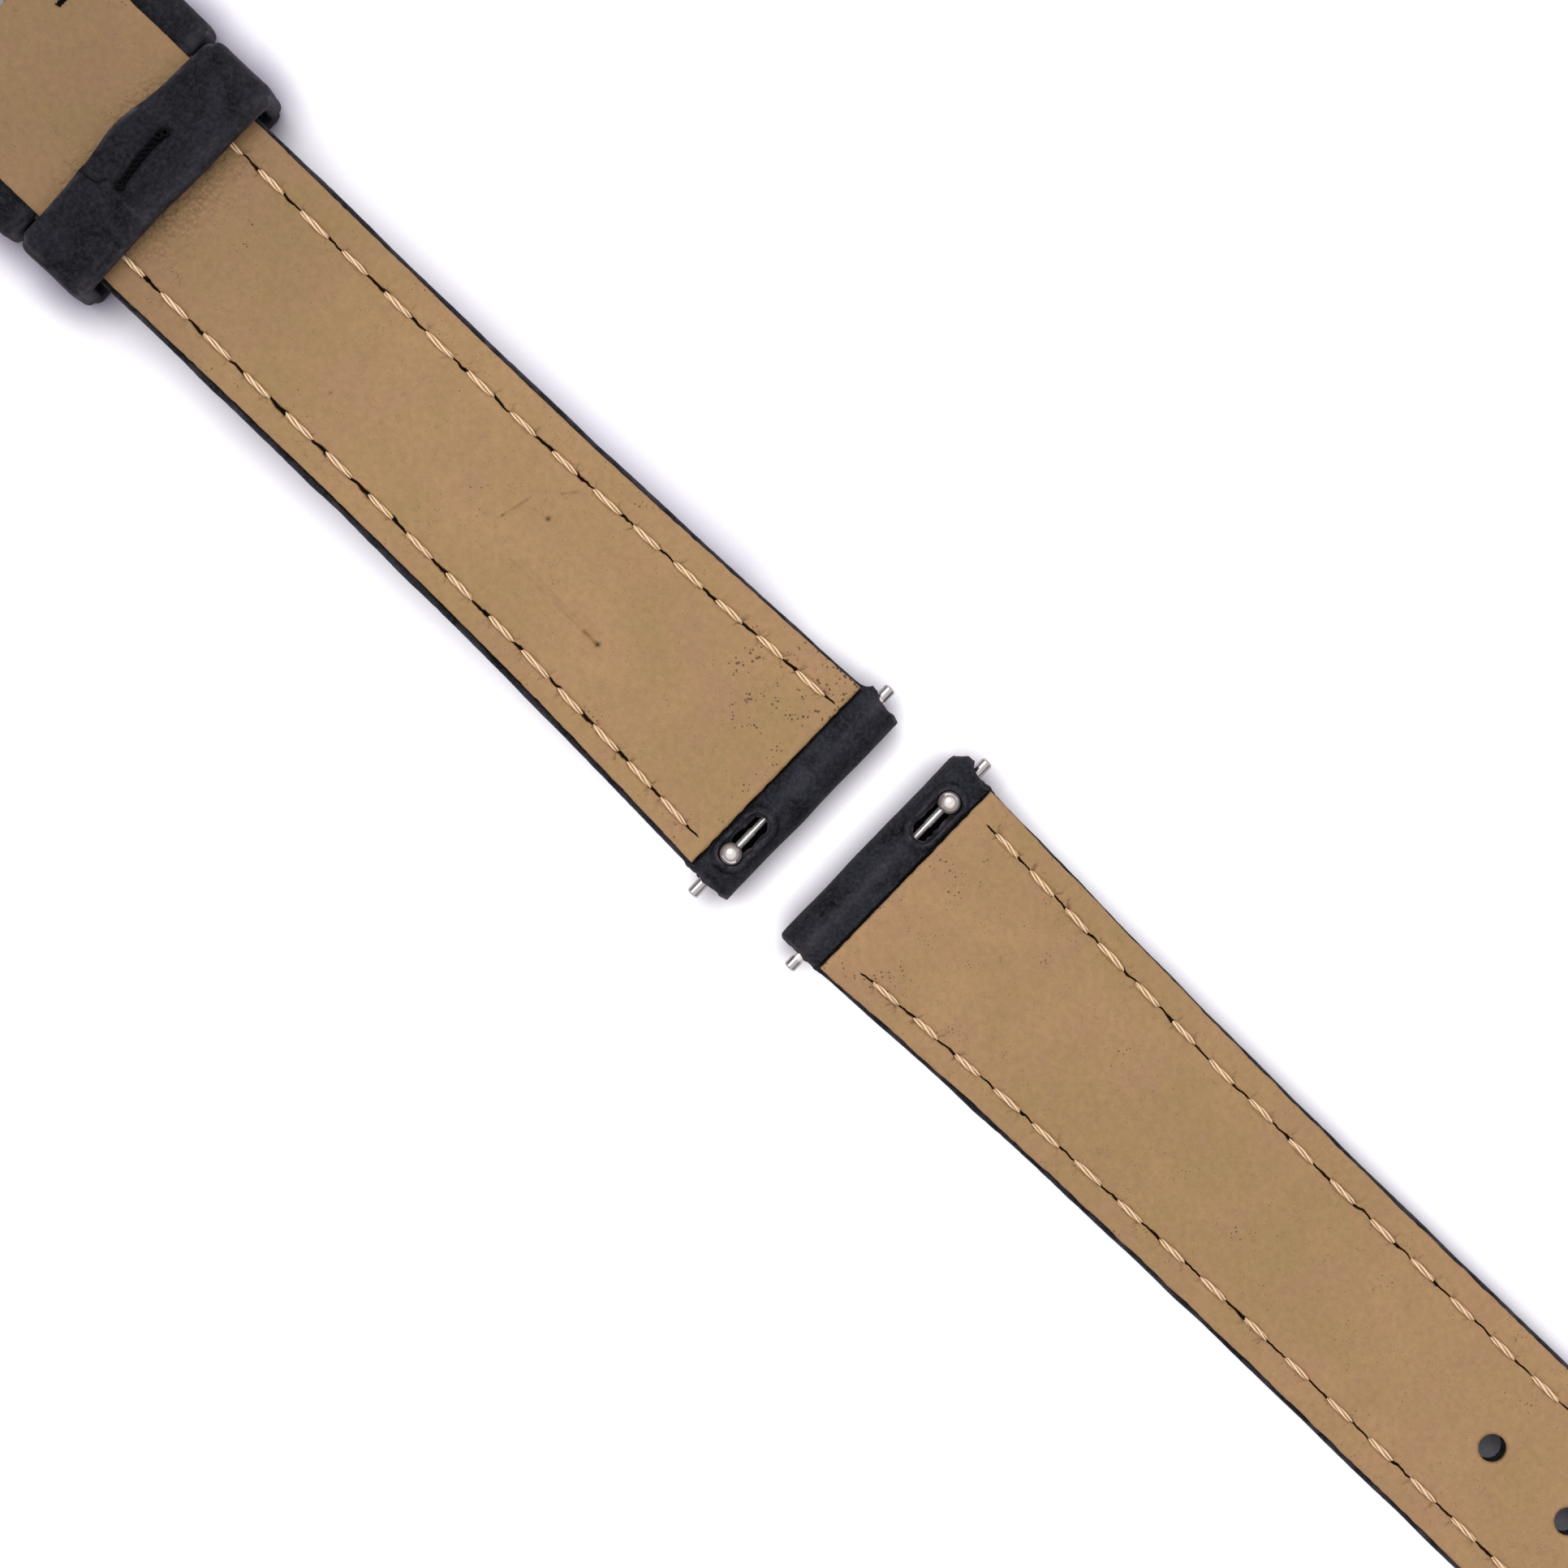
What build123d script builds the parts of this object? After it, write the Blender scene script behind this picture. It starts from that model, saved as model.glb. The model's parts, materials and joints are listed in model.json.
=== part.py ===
from build123d import *
from math import asin, atan2, cos, hypot, sin
import os

# Everything is in millimetres. Each half of the strap has its own frame: x runs outwards from
# the axis of its lug bar, y across, z up from the table that the strap lies on, face down.

# Strap plan
lug_width = 17.7
end_width = 16.0
taper_start = 1.9
taper_end = 41.9
short_length = 82.2
long_length = 120.9
bar_spacing = 8.59
short_offset = -0.49
long_offset = 0.54
point_length = 11.0
point_width = 3.4
point_depth = 0.9
point_shoulder_back = 4.62
point_shoulder_share = 0.7
point_nose_back = 0.225
point_nose_side = 1.054

# Leather layers
lining_thickness = 0.8
core_thickness = 0.8
face_thickness = 0.9
pad_depth = 2.0
pad_start = 3.6
pad_stop = 39.9
pad_setback = 0.5
lining_inset = 0.4
lining_proud = 0.3
lining_setback = 1.56
core_setback = 3.2
edge_fold = 0.5
loop_run = 6.0

# Quick-release lug bars
tube_radius = 0.9
tube_bore = 0.7
tube_inset = 0.1
tube_lip = 0.25
loop_wall = 1.15
channel_gap = 0.05
running_gap = 0.05
tip_radius = 0.45
tip_out = 1.45
tip_chamfer = 0.12
knob_setback = 2.6
knob_radius = 0.8
knob_height = 1.9
stem_radius = 0.3
window_setback = 1.7
window_length = 4.6
window_width = 1.85
plug_length = 2.35
pin_shoulder = 2.9
pin_neck = 1.6
pin_rod = 1.9
pin_head = 0.6
spring_wall = 0.25

# Seams and tacks
seam_end = 5.55
seam_lug = 6.7
stitch_pitch = 3.9
stitch_length = 2.5
thread_width = 0.45
thread_proud = 0.2
lining_seam_start = 5.0
face_seam_start = 7.8
short_seam_setback = 19.7
long_seam_setback = 13.4
tack_setback = 7.1
tack_side = 4.3
tack_length = 2.4

# Keepers
fixed_setback = 10.0
floating_length = 6.1
floating_width = 20.1
fixed_length = 6.0
fixed_width = 20.8
keeper_gap = 0.6
keeper_wall = 1.4
keeper_over = 0.35
keeper_tuck = 4.0
keeper_round = 1.1
keeper_bend = 0.4
tail_room = 2.6
overlap_place = 2.86
overlap_step = 0.3
staple_length = 5.6
staple_width = 0.65
staple_height = 0.4
staple_place = 3.7
staple_shift = -0.19

# Adjustment holes
hole_radius = 1.0
hole_setback = 16.3
hole_pitch = 7.5
hole_count = 7

# Buckle and its spring bar
buckle_tube_radius = 0.75
buckle_tube_bore = 0.55
buckle_tip_radius = 0.4
buckle_tip_out = 1.5
buckle_shoulder = 1.6
buckle_loop_wall = 0.75
buckle_loop_run = 4.5
frame_gap = 0.35
frame_arm = 1.9
frame_reach = 9.0
frame_bar = 2.0
frame_height = 2.2
frame_corner = 2.6
frame_ease = 0.4
eye_radius = 1.3
eye_depth = 1.3
notch_depth = 0.3
tongue_width = 1.9
tongue_thickness = 1.0
tongue_reach = 9.4
tongue_ease = 0.4
tongue_wall = 0.7
tongue_play = 0.25
tongue_slot = 3.0
tongue_slot_back = 4.2
seat_gap = 0.05

# Worked out from the sizes above
strap_thickness = lining_thickness + core_thickness + face_thickness
core_bottom = lining_thickness + core_thickness
loop_radius = tube_radius + channel_gap + loop_wall
lug_top = 2 * loop_radius + lining_proud
buckle_loop_radius = buckle_tube_radius + channel_gap + buckle_loop_wall
tube_half = lug_width / 2 - tube_inset
knob_place = tube_half - knob_setback
window_middle = tube_half - window_setback - window_length / 2
buckle_tube_half = end_width / 2 - tube_inset
keeper_drop = strap_thickness + tail_room + keeper_wall
fixed_start = short_length - fixed_setback - fixed_length
floating_start = fixed_start - keeper_gap - floating_length
short_seam_stop = short_length - short_seam_setback
long_seam_stop = long_length - long_seam_setback
last_hole = long_length - hole_setback
clear = 2 * fixed_width


class Half:
    """One half of the strap: its place, its length and the slope of its two straight runs."""

    def __init__(self, name, hand, offset, length, first_slope, second_slope):
        self.name = name
        self.length = length
        self.first_slope = first_slope
        self.second_slope = second_slope
        origin = (hand * bar_spacing / 2, offset, 0)
        self.plan = Plane(origin=origin, x_dir=(hand, 0, 0), z_dir=(0, 0, 1))
        self.side = Plane(origin=origin, x_dir=(hand, 0, 0), z_dir=(0, -hand, 0))

    def place(self, x, y, z):
        return self.plan.from_local_coords(Vector(x, y, z))

    def direction(self, x, y, z):
        return self.place(x, y, z) - self.plan.origin

    def top(self, x):
        """Height of the lining's upper face."""
        first = self.first_slope * min(x, taper_end)
        return lug_top + first + self.second_slope * max(x - taper_end, 0)

    def slope(self, x):
        return self.first_slope if x < taper_end else self.second_slope

    def across(self, x, y=0, z=0):
        """A plane square to x: its sketch x runs across the strap, its sketch y up."""
        return Plane(origin=self.place(x, y, z), x_dir=self.plan.y_dir, z_dir=self.plan.x_dir)

    def along(self, x, y, z):
        """A plane square to y, for round steps along a spring bar."""
        return Plane(origin=self.place(x, y, z), x_dir=self.plan.x_dir, z_dir=self.plan.y_dir)

    def surface(self, x, y, depth, turn=0):
        """A plane on a layer, below the lining's upper face, its sketch x along the strap."""
        rise = self.slope(x)
        return Plane(
            origin=self.place(x, y, self.top(x) - depth),
            x_dir=self.direction(1, turn, rise),
            z_dir=self.direction(-rise, 0, 1),
        )


short_rise = (keeper_drop - lug_top) / floating_start
long_fall = (strap_thickness + thread_proud - lug_top) / taper_end
short = Half("short", -1, short_offset, short_length, short_rise, short_rise)
long = Half("long", 1, long_offset, long_length, long_fall, 0)
buckle_bar_height = short.top(short_length) - lining_proud - buckle_loop_radius


def flare(x):
    """The share of the lug end's extra width that is left at x."""
    left = min(max(taper_end - x, 0), taper_end - taper_start)
    return (left / (taper_end - taper_start)) ** 2


def seam_place(x):
    return seam_end + (seam_lug - seam_end) * flare(x)


def strap_outline(half, inset=0):
    """The plan: a flared lug end, and a square end or a pointed one."""
    lug = lug_width / 2 - inset
    end = end_width / 2 - inset
    middle = (taper_start + taper_end) / 2
    with BuildSketch(half.plan) as outline:
        with BuildLine():
            nose = Line((-loop_radius, 0), (-loop_radius, lug))
            level = Line(nose @ 1, (taper_start, lug))
            bend = ThreePointArc(level @ 1, (middle, end + (lug - end) * flare(middle)), (taper_end, end))
            if half is long:
                tip = half.length - inset
                run = Line(bend @ 1, (half.length - point_length, end))
                shoulder = (tip - point_shoulder_back, end * point_shoulder_share)
                side = ThreePointArc(run @ 1, shoulder, (tip - point_depth, point_width / 2))
                ThreePointArc(side @ 1, (tip - point_nose_back, point_nose_side), (tip, 0))
            else:
                run = Line(bend @ 1, (half.length + buckle_loop_radius, end))
                Line(run @ 1, (half.length + buckle_loop_radius, 0))
            mirror(about=Plane.XZ)
        make_face()
    return outline.sketch


def layer_profile(half, start, stop, upper, lower):
    """Side view of one layer between two depths below the lining's upper face."""
    stations = [start, taper_end, stop]
    points = [(x, half.top(x) - upper) for x in stations]
    points += [(x, half.top(x) - lower) for x in reversed(stations)]
    with BuildSketch(half.side) as profile:
        with BuildLine():
            Polyline(points, close=True)
        make_face()
    return profile.sketch


def far_end_cut(half):
    """The holes of the tail, or the slot that the buckle's tongue swings in."""
    with BuildSketch(half.plan) as cut:
        if half is long:
            with Locations([(last_hole - i * hole_pitch, 0) for i in range(hole_count)]):
                Circle(hole_radius)
        else:
            with Locations((half.length - tongue_slot_back, 0)):
                Rectangle(clear, tongue_slot, align=(Align.MIN, Align.CENTER))
    return cut.sketch


def pad_section(half, x, depth, lift=0):
    """Section of the padded dome: an arc that hangs below a chord."""
    chord = seam_place(x) - pad_setback
    level = half.top(x) - depth
    lowest = level - pad_depth * (1 - x / taper_end)
    with BuildSketch(half.across(x)) as section:
        with BuildLine():
            arc = ThreePointArc((-chord, level + lift), (0, lowest), (chord, level + lift))
            Line(arc @ 1, arc @ 0)
        make_face()
    return section.sketch.face()


def make_lining(half):
    stop = half.length if half is long else half.length - lining_setback
    with BuildPart() as lining:
        extrude(layer_profile(half, lining_setback, stop, 0, lining_thickness), amount=clear, both=True)
        extrude(strap_outline(half, lining_inset), amount=clear, mode=Mode.INTERSECT)
        extrude(far_end_cut(half), amount=clear, mode=Mode.SUBTRACT)
    return lining


def make_core(half):
    stop = half.length if half is long else half.length - core_setback
    with BuildPart() as core:
        profile = layer_profile(half, core_setback, stop, lining_thickness, core_bottom)
        extrude(profile, amount=clear, both=True)
        extrude(strap_outline(half, edge_fold), amount=clear, mode=Mode.INTERSECT)
        extrude(far_end_cut(half), amount=clear, mode=Mode.SUBTRACT)
        if half is short:
            add(fixed_keeper.part, mode=Mode.SUBTRACT)
    return core


def make_padding(half):
    with BuildPart() as padding:
        thick = pad_section(half, pad_start, core_bottom)
        thin = pad_section(half, pad_stop, core_bottom)
        loft([thick, thin], ruled=True)
    return padding


def leather_profile(half):
    """Side view of the face leather with its flat margins, and its loop round each bar."""
    stop = half.length
    lining_stop = stop - lining_setback if half is short else stop
    band = lug_top - lining_proud
    upper = [(0, band), (lining_setback, band)]
    upper += [(x, half.top(x) - lining_thickness) for x in (lining_setback, taper_end, lining_stop)]
    if half is short:
        upper += [(lining_stop, half.top(stop) - lining_proud), (stop, half.top(stop) - lining_proud)]
        upper += [(stop, buckle_bar_height - buckle_loop_radius)]
        stop -= buckle_loop_run
    lower = [(x, half.top(x) - strap_thickness) for x in (stop, taper_end, loop_run)]
    with BuildSketch(half.side) as profile:
        with BuildLine():
            Polyline(upper + lower + [(0, 0)], close=True)
        make_face()
        with Locations((0, loop_radius)):
            Circle(loop_radius)
        if half is short:
            with Locations((half.length, buckle_bar_height)):
                Circle(buckle_loop_radius)
    return profile.sketch


def bar_channels(half):
    with BuildSketch(half.side) as channels:
        with Locations((0, loop_radius)):
            Circle(tube_radius + channel_gap)
        if half is short:
            with Locations((half.length, buckle_bar_height)):
                Circle(buckle_tube_radius + channel_gap)
    return channels.sketch


def lever_window(half, width):
    """The long cut-out that the knob moves in, from the bar's axis upwards."""
    with BuildSketch(half.plan.offset(loop_radius)) as window:
        with Locations((0, window_middle)):
            SlotOverall(window_length, width, rotation=90)
    return window.sketch


def make_face_leather(half, core, padding):
    with BuildPart() as leather:
        extrude(leather_profile(half), amount=clear, both=True)
        extrude(strap_outline(half), amount=clear, mode=Mode.INTERSECT)
        thick = pad_section(half, pad_start / 2, strap_thickness, face_thickness / 2)
        thin = pad_section(half, taper_end, strap_thickness, face_thickness / 2)
        loft([thick, thin], ruled=True)
        add(core.part, mode=Mode.SUBTRACT)
        add(padding.part, mode=Mode.SUBTRACT)
        extrude(bar_channels(half), amount=clear, both=True, mode=Mode.SUBTRACT)
        extrude(lever_window(half, window_width), amount=clear, mode=Mode.SUBTRACT)
        extrude(far_end_cut(half), amount=clear, mode=Mode.SUBTRACT)
        if half is short:
            add(fixed_keeper.part, mode=Mode.SUBTRACT)
    return leather


def make_seams(half, start, stop, depth, proud):
    """Both seams of one side, a stitch at each pitch, seated on the leather."""
    planes = []
    for i in range(int((stop - start) / stitch_pitch) + 1):
        x = start + i * stitch_pitch
        turn = (seam_place(x + stitch_pitch) - seam_place(x)) / stitch_pitch
        planes += [half.surface(x, hand * seam_place(x), depth, hand * turn) for hand in (-1, 1)]
    with BuildPart() as seams:
        with BuildSketch(*planes) as stitches:
            SlotOverall(stitch_length, thread_width)
        extrude(stitches.sketch, amount=proud)
    return seams


def round_step(plane, radius, length, mode=Mode.ADD):
    with BuildSketch(plane) as disc:
        Circle(radius)
    extrude(disc.sketch, amount=length, mode=mode)


def make_release_bar(half):
    """A quick-release bar, its sliding tip on the knob's side."""
    z = loop_radius
    lip_start = tube_half - tube_lip
    spring_start = plug_length - tube_half
    shoulder_stop = lip_start - running_gap
    shoulder_start = shoulder_stop - pin_shoulder
    neck_start = shoulder_start - pin_neck
    rod_start = neck_start - pin_rod
    head_start = rod_start - pin_head
    outwards = Axis((0, 0, 0), half.direction(0, 1, 0))
    with BuildPart() as tube:
        round_step(half.along(0, -tube_half, z), tube_radius, 2 * tube_half)
        extrude(lever_window(half, 2 * tube_bore), amount=tube_radius, mode=Mode.SUBTRACT)
        round_step(half.along(0, -tube_half, z), tube_bore, lip_start + tube_half, Mode.SUBTRACT)
        round_step(half.along(0, lip_start, z), tip_radius + running_gap, tube_lip, Mode.SUBTRACT)
    with BuildPart() as fixed_tip:
        round_step(half.along(0, -tube_half, z), tube_bore, plug_length)
        round_step(half.along(0, -tube_half - tip_out, z), tip_radius, tip_out)
        chamfer(fixed_tip.edges().filter_by(GeomType.CIRCLE).sort_by(outwards)[0], tip_chamfer)
    with BuildPart() as sliding_pin:
        round_step(half.along(0, tube_half, z), tip_radius, tip_out)
        chamfer(sliding_pin.edges().filter_by(GeomType.CIRCLE).sort_by(outwards)[-1], tip_chamfer)
        with Locations(half.along(0, shoulder_stop, z)):
            neck_align = (Align.CENTER, Align.CENTER, Align.MIN)
            Cone(tip_radius - running_gap, tip_radius, tube_half - shoulder_stop, align=neck_align)
        round_step(half.along(0, shoulder_start, z), tube_bore - running_gap, pin_shoulder)
        round_step(half.along(0, neck_start, z), stem_radius, pin_neck)
        round_step(half.along(0, rod_start, z), stem_radius - running_gap, pin_rod)
        round_step(half.along(0, head_start, z), tube_bore - 2 * running_gap, pin_head)
        knob_plane = Plane(origin=half.place(0, knob_place, z), z_dir=(0, 0, 1))
        round_step(knob_plane, stem_radius, tube_radius, Mode.SUBTRACT)
    with BuildPart() as knob:
        round_step(knob_plane, stem_radius, knob_height)
        with Locations(half.place(0, knob_place, z + knob_height)):
            Sphere(knob_radius)
    with BuildPart() as spring:
        spring_radius = tube_bore - 2 * running_gap
        spring_plane = half.along(0, spring_start, z)
        round_step(spring_plane, spring_radius, head_start - spring_start)
        round_step(spring_plane, spring_radius - spring_wall, head_start - spring_start, Mode.SUBTRACT)
    return {"tube": tube, "fixed_tip": fixed_tip, "sliding_pin": sliding_pin, "knob": knob, "spring": spring}


def keeper_plane(x, lift=0):
    """A plane square to the sloping strap: sketch x runs across, sketch y up from the lining."""
    level = short.surface(x, 0, 0)
    return Plane(origin=level.origin + level.z_dir * lift, x_dir=level.y_dir, z_dir=level.x_dir)


centre_down = (Align.CENTER, Align.MAX)
fixed_inner = fixed_width - 2 * keeper_wall

with BuildPart() as fixed_keeper:
    # Its two ends turn in under the lining, in the place of the core
    with BuildSketch(keeper_plane(fixed_start)) as section:
        with Locations((0, -lining_thickness)):
            RectangleRounded(fixed_width, keeper_drop - lining_thickness, keeper_round, align=centre_down)
            tuck_mouth = end_width - 2 * keeper_tuck
            Rectangle(tuck_mouth, core_thickness, align=centre_down, mode=Mode.SUBTRACT)
        with Locations((0, -core_bottom)):
            inner_height = keeper_drop - keeper_wall - core_bottom
            Rectangle(fixed_inner, inner_height, align=centre_down, mode=Mode.SUBTRACT)
    extrude(section.sketch, amount=fixed_length)

with BuildPart() as floating_keeper:
    floating_top = keeper_over + keeper_wall
    with BuildSketch(keeper_plane(floating_start)) as ring:
        with Locations((0, floating_top)):
            RectangleRounded(floating_width, floating_top + keeper_drop, keeper_round, align=centre_down)
        with Locations((0, keeper_over)):
            ring_inner = floating_width - 2 * keeper_wall
            ring_height = keeper_over + keeper_drop - keeper_wall
            RectangleRounded(ring_inner, ring_height, keeper_bend, align=centre_down, mode=Mode.SUBTRACT)
        with Locations((overlap_place, floating_top)):
            Rectangle(clear, overlap_step, align=(Align.MIN, Align.MAX), mode=Mode.SUBTRACT)
    extrude(ring.sketch, amount=floating_length)

with BuildPart() as floating_keeper_stitch:
    keeper_face = keeper_plane(floating_start + staple_place, floating_top)
    staple_plane = Plane(origin=keeper_face.origin, x_dir=keeper_face.z_dir, z_dir=keeper_face.y_dir)
    with BuildSketch(staple_plane) as staple:
        with Locations((0, staple_shift)):
            SlotOverall(staple_length, staple_width, rotation=90)
    extrude(staple.sketch, amount=staple_height)

with BuildPart() as buckle_end_tacks:
    tack_place = short_length - tack_setback
    with BuildSketch(*[short.surface(tack_place, side, 0) for side in (-tack_side, tack_side)]) as tacks:
        SlotOverall(tack_length, thread_width, rotation=90)
    extrude(tacks.sketch, amount=thread_proud)

# The buckle hangs from its spring bar until its tongue rests on the table
tongue_top = -frame_height / 2 + notch_depth - seat_gap
tongue_bottom = tongue_top - tongue_thickness
droop = asin(buckle_bar_height / hypot(tongue_reach, tongue_bottom)) - atan2(-tongue_bottom, tongue_reach)
buckle_side = Plane(
    origin=short.place(short_length, 0, buckle_bar_height),
    x_dir=short.direction(cos(droop), 0, -sin(droop)),
    z_dir=short.direction(0, -1, 0),
)
buckle_plan = Plane(origin=buckle_side.origin, x_dir=buckle_side.x_dir, z_dir=buckle_side.y_dir)
frame_inner = end_width + 2 * frame_gap
frame_outer = frame_inner + 2 * frame_arm
eye_radius_in = buckle_tip_radius + running_gap

with BuildPart() as buckle_frame:
    with BuildSketch(buckle_plan) as frame_plan:
        with Locations((frame_reach, 0)):
            Rectangle(frame_reach + eye_radius, frame_outer, align=(Align.MAX, Align.CENTER))
        fillet(frame_plan.vertices().group_by(Axis.X)[-1], frame_corner)
        with Locations((frame_reach - frame_bar, 0)):
            Rectangle(clear, frame_inner, align=(Align.MAX, Align.CENTER), mode=Mode.SUBTRACT)
    extrude(frame_plan.sketch, amount=frame_height / 2, both=True)
    with BuildSketch(buckle_side) as side_view:
        Rectangle(frame_reach, frame_height, align=(Align.MIN, Align.CENTER))
        Circle(eye_radius)
    extrude(side_view.sketch, amount=clear, both=True, mode=Mode.INTERSECT)
    chamfer(buckle_frame.faces().sort_by(Axis(buckle_side.origin, buckle_side.x_dir))[-1].edges(), frame_ease)
    for hand in (-1, 1):
        eye = Plane(
            origin=buckle_side.origin + short.direction(0, hand * frame_inner / 2, 0),
            x_dir=buckle_side.x_dir,
            z_dir=short.direction(0, hand, 0),
        )
        round_step(eye, eye_radius_in, eye_depth, Mode.SUBTRACT)
    with BuildSketch(buckle_plan.offset(-frame_height / 2)) as notch:
        with Locations((frame_reach - frame_bar, 0)):
            Rectangle(clear, tongue_width + 2 * tongue_play, align=(Align.CENTER, Align.CENTER))
    extrude(notch.sketch, amount=notch_depth, mode=Mode.SUBTRACT)

with BuildPart() as buckle_tongue:
    hub_bore = buckle_tube_radius + running_gap
    hub_radius = hub_bore + tongue_wall
    bar_start = frame_reach - frame_bar - tongue_thickness
    with BuildSketch(buckle_side) as tongue_side:
        Circle(hub_radius)
        with BuildLine():
            blank = [(0, -hub_radius), (bar_start, tongue_bottom), (tongue_reach, tongue_bottom)]
            nose_end = (tongue_reach, tongue_bottom + tongue_thickness / 2)
            nose = [nose_end, (tongue_reach - tongue_ease, tongue_top)]
            root = [(bar_start, tongue_top), (hub_radius, 0), (0, 0)]
            Polyline(blank + nose + root, close=True)
        make_face()
        Circle(hub_bore, mode=Mode.SUBTRACT)
    extrude(tongue_side.sketch, amount=tongue_width / 2, both=True)

spring_half = buckle_tube_half - tube_lip - running_gap - buckle_shoulder

with BuildPart() as buckle_bar_tube:
    bar_plane = short.along(short_length, -buckle_tube_half, buckle_bar_height)
    inner_plane = short.along(short_length, -buckle_tube_half + tube_lip, buckle_bar_height)
    round_step(bar_plane, buckle_tube_radius, 2 * buckle_tube_half)
    round_step(inner_plane, buckle_tube_bore, 2 * (buckle_tube_half - tube_lip), Mode.SUBTRACT)
    round_step(bar_plane, buckle_tip_radius + running_gap, 2 * buckle_tube_half, Mode.SUBTRACT)

with BuildPart() as buckle_bar_spring:
    coil_plane = short.along(short_length, -spring_half, buckle_bar_height)
    coil_radius = buckle_tube_bore - running_gap
    round_step(coil_plane, coil_radius, 2 * spring_half)
    round_step(coil_plane, coil_radius - spring_wall, 2 * spring_half, Mode.SUBTRACT)


def make_buckle_tip(hand):
    """One sprung tip of the buckle's bar: a shoulder in the tube, a tip in the frame's eye."""
    root = Plane(
        origin=short.place(short_length, hand * spring_half, buckle_bar_height),
        x_dir=short.plan.x_dir,
        z_dir=short.direction(0, hand, 0),
    )
    with BuildPart() as tip:
        round_step(root, buckle_tube_bore - running_gap, buckle_shoulder)
        round_step(root, buckle_tip_radius, buckle_tube_half + buckle_tip_out - spring_half)
        far_edge = tip.edges().filter_by(GeomType.CIRCLE).sort_by(Axis(root.origin, root.z_dir))[-1]
        chamfer(far_edge, tip_chamfer)
    return tip


pieces = {
    "fixed_keeper": fixed_keeper,
    "floating_keeper": floating_keeper,
    "floating_keeper_stitch": floating_keeper_stitch,
    "buckle_end_tacks": buckle_end_tacks,
    "buckle_frame": buckle_frame,
    "buckle_tongue": buckle_tongue,
    "buckle_bar_tube": buckle_bar_tube,
    "buckle_bar_spring": buckle_bar_spring,
    "buckle_bar_tip_a": make_buckle_tip(-1),
    "buckle_bar_tip_b": make_buckle_tip(1),
}
for half, seam_stop in ((short, short_seam_stop), (long, long_seam_stop)):
    core = make_core(half)
    padding = make_padding(half)
    pieces[half.name + "_core"] = core
    pieces[half.name + "_padding"] = padding
    pieces[half.name + "_lining"] = make_lining(half)
    pieces[half.name + "_face_leather"] = make_face_leather(half, core, padding)
    pieces[half.name + "_lining_seams"] = make_seams(half, lining_seam_start, seam_stop, 0, thread_proud)
    face_seams = make_seams(half, face_seam_start, seam_stop, strap_thickness, -thread_proud)
    pieces[half.name + "_face_seams"] = face_seams
    for name, piece in make_release_bar(half).items():
        pieces[f"{half.name}_bar_{name}"] = piece

# The origin is the middle of the whole strap's box, on the table
whole = Compound([piece.part for piece in pieces.values()]).bounding_box()
centre = Location((-whole.center().X, -whole.center().Y, 0))
print("moved by", centre.position, "box", whole.size, "lowest", whole.min.Z)

os.makedirs("parts", exist_ok=True)
for name, piece in pieces.items():
    piece.part = piece.part.moved(centre)
    piece.part.label = name
    export_step(piece.part, f"parts/{name}.step")
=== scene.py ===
import json
import math
import bmesh
import bpy
import numpy as np
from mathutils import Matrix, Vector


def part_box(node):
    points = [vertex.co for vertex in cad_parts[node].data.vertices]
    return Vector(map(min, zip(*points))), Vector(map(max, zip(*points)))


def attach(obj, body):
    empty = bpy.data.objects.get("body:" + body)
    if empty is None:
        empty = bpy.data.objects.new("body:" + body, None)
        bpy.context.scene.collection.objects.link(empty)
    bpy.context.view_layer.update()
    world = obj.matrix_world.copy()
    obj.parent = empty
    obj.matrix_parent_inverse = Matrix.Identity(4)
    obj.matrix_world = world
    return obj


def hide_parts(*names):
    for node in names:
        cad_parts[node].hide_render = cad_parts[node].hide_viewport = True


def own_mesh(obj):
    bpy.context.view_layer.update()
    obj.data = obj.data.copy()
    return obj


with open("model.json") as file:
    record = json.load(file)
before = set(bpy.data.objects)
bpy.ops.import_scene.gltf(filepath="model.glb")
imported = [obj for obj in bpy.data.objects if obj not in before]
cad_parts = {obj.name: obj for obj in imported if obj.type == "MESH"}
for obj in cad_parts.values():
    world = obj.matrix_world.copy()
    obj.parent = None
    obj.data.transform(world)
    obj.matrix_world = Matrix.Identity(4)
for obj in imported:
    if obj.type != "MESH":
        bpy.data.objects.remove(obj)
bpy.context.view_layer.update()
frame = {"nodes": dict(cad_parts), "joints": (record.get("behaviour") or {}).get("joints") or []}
cadNodes = frame["nodes"]
print("strap: frame loaded with", len(cadNodes), "solids")

millimetre = 0.001

# plan of the strap in millimetres, the same sizes as its solids
strapPlan = {
    "lugHalf": 8.85, "endHalf": 8.0, "taperStart": 1.9, "taperEnd": 41.9,
    "lugTop": 4.5, "barHeight": 2.1, "thickness": 2.5, "liningThickness": 0.8,
    "seamLug": 6.7, "seamEnd": 5.55, "liningInset": 0.4, "liningSetback": 1.56,
    "pointLength": 11.0, "pointHalf": 1.7, "pointDepth": 0.9,
    "shoulderBack": 4.62, "shoulderShare": 0.7, "noseBack": 0.225, "noseSide": 1.054,
    "holeStart": 59.6, "holePitch": 7.5, "holeCount": 7, "holeRadius": 1.0,
    "slotBack": 4.2, "slotHalf": 1.5, "pitchChange": 22.0,
    "windowMiddle": 4.75, "windowStraight": 1.375, "windowRadius": 0.925,
    "driftRun": 48.0, "coverPlaces": (0, 16, 26, 45, 60, 96, 106), "coverAtTip": (0.08, 0.0),
}

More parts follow.
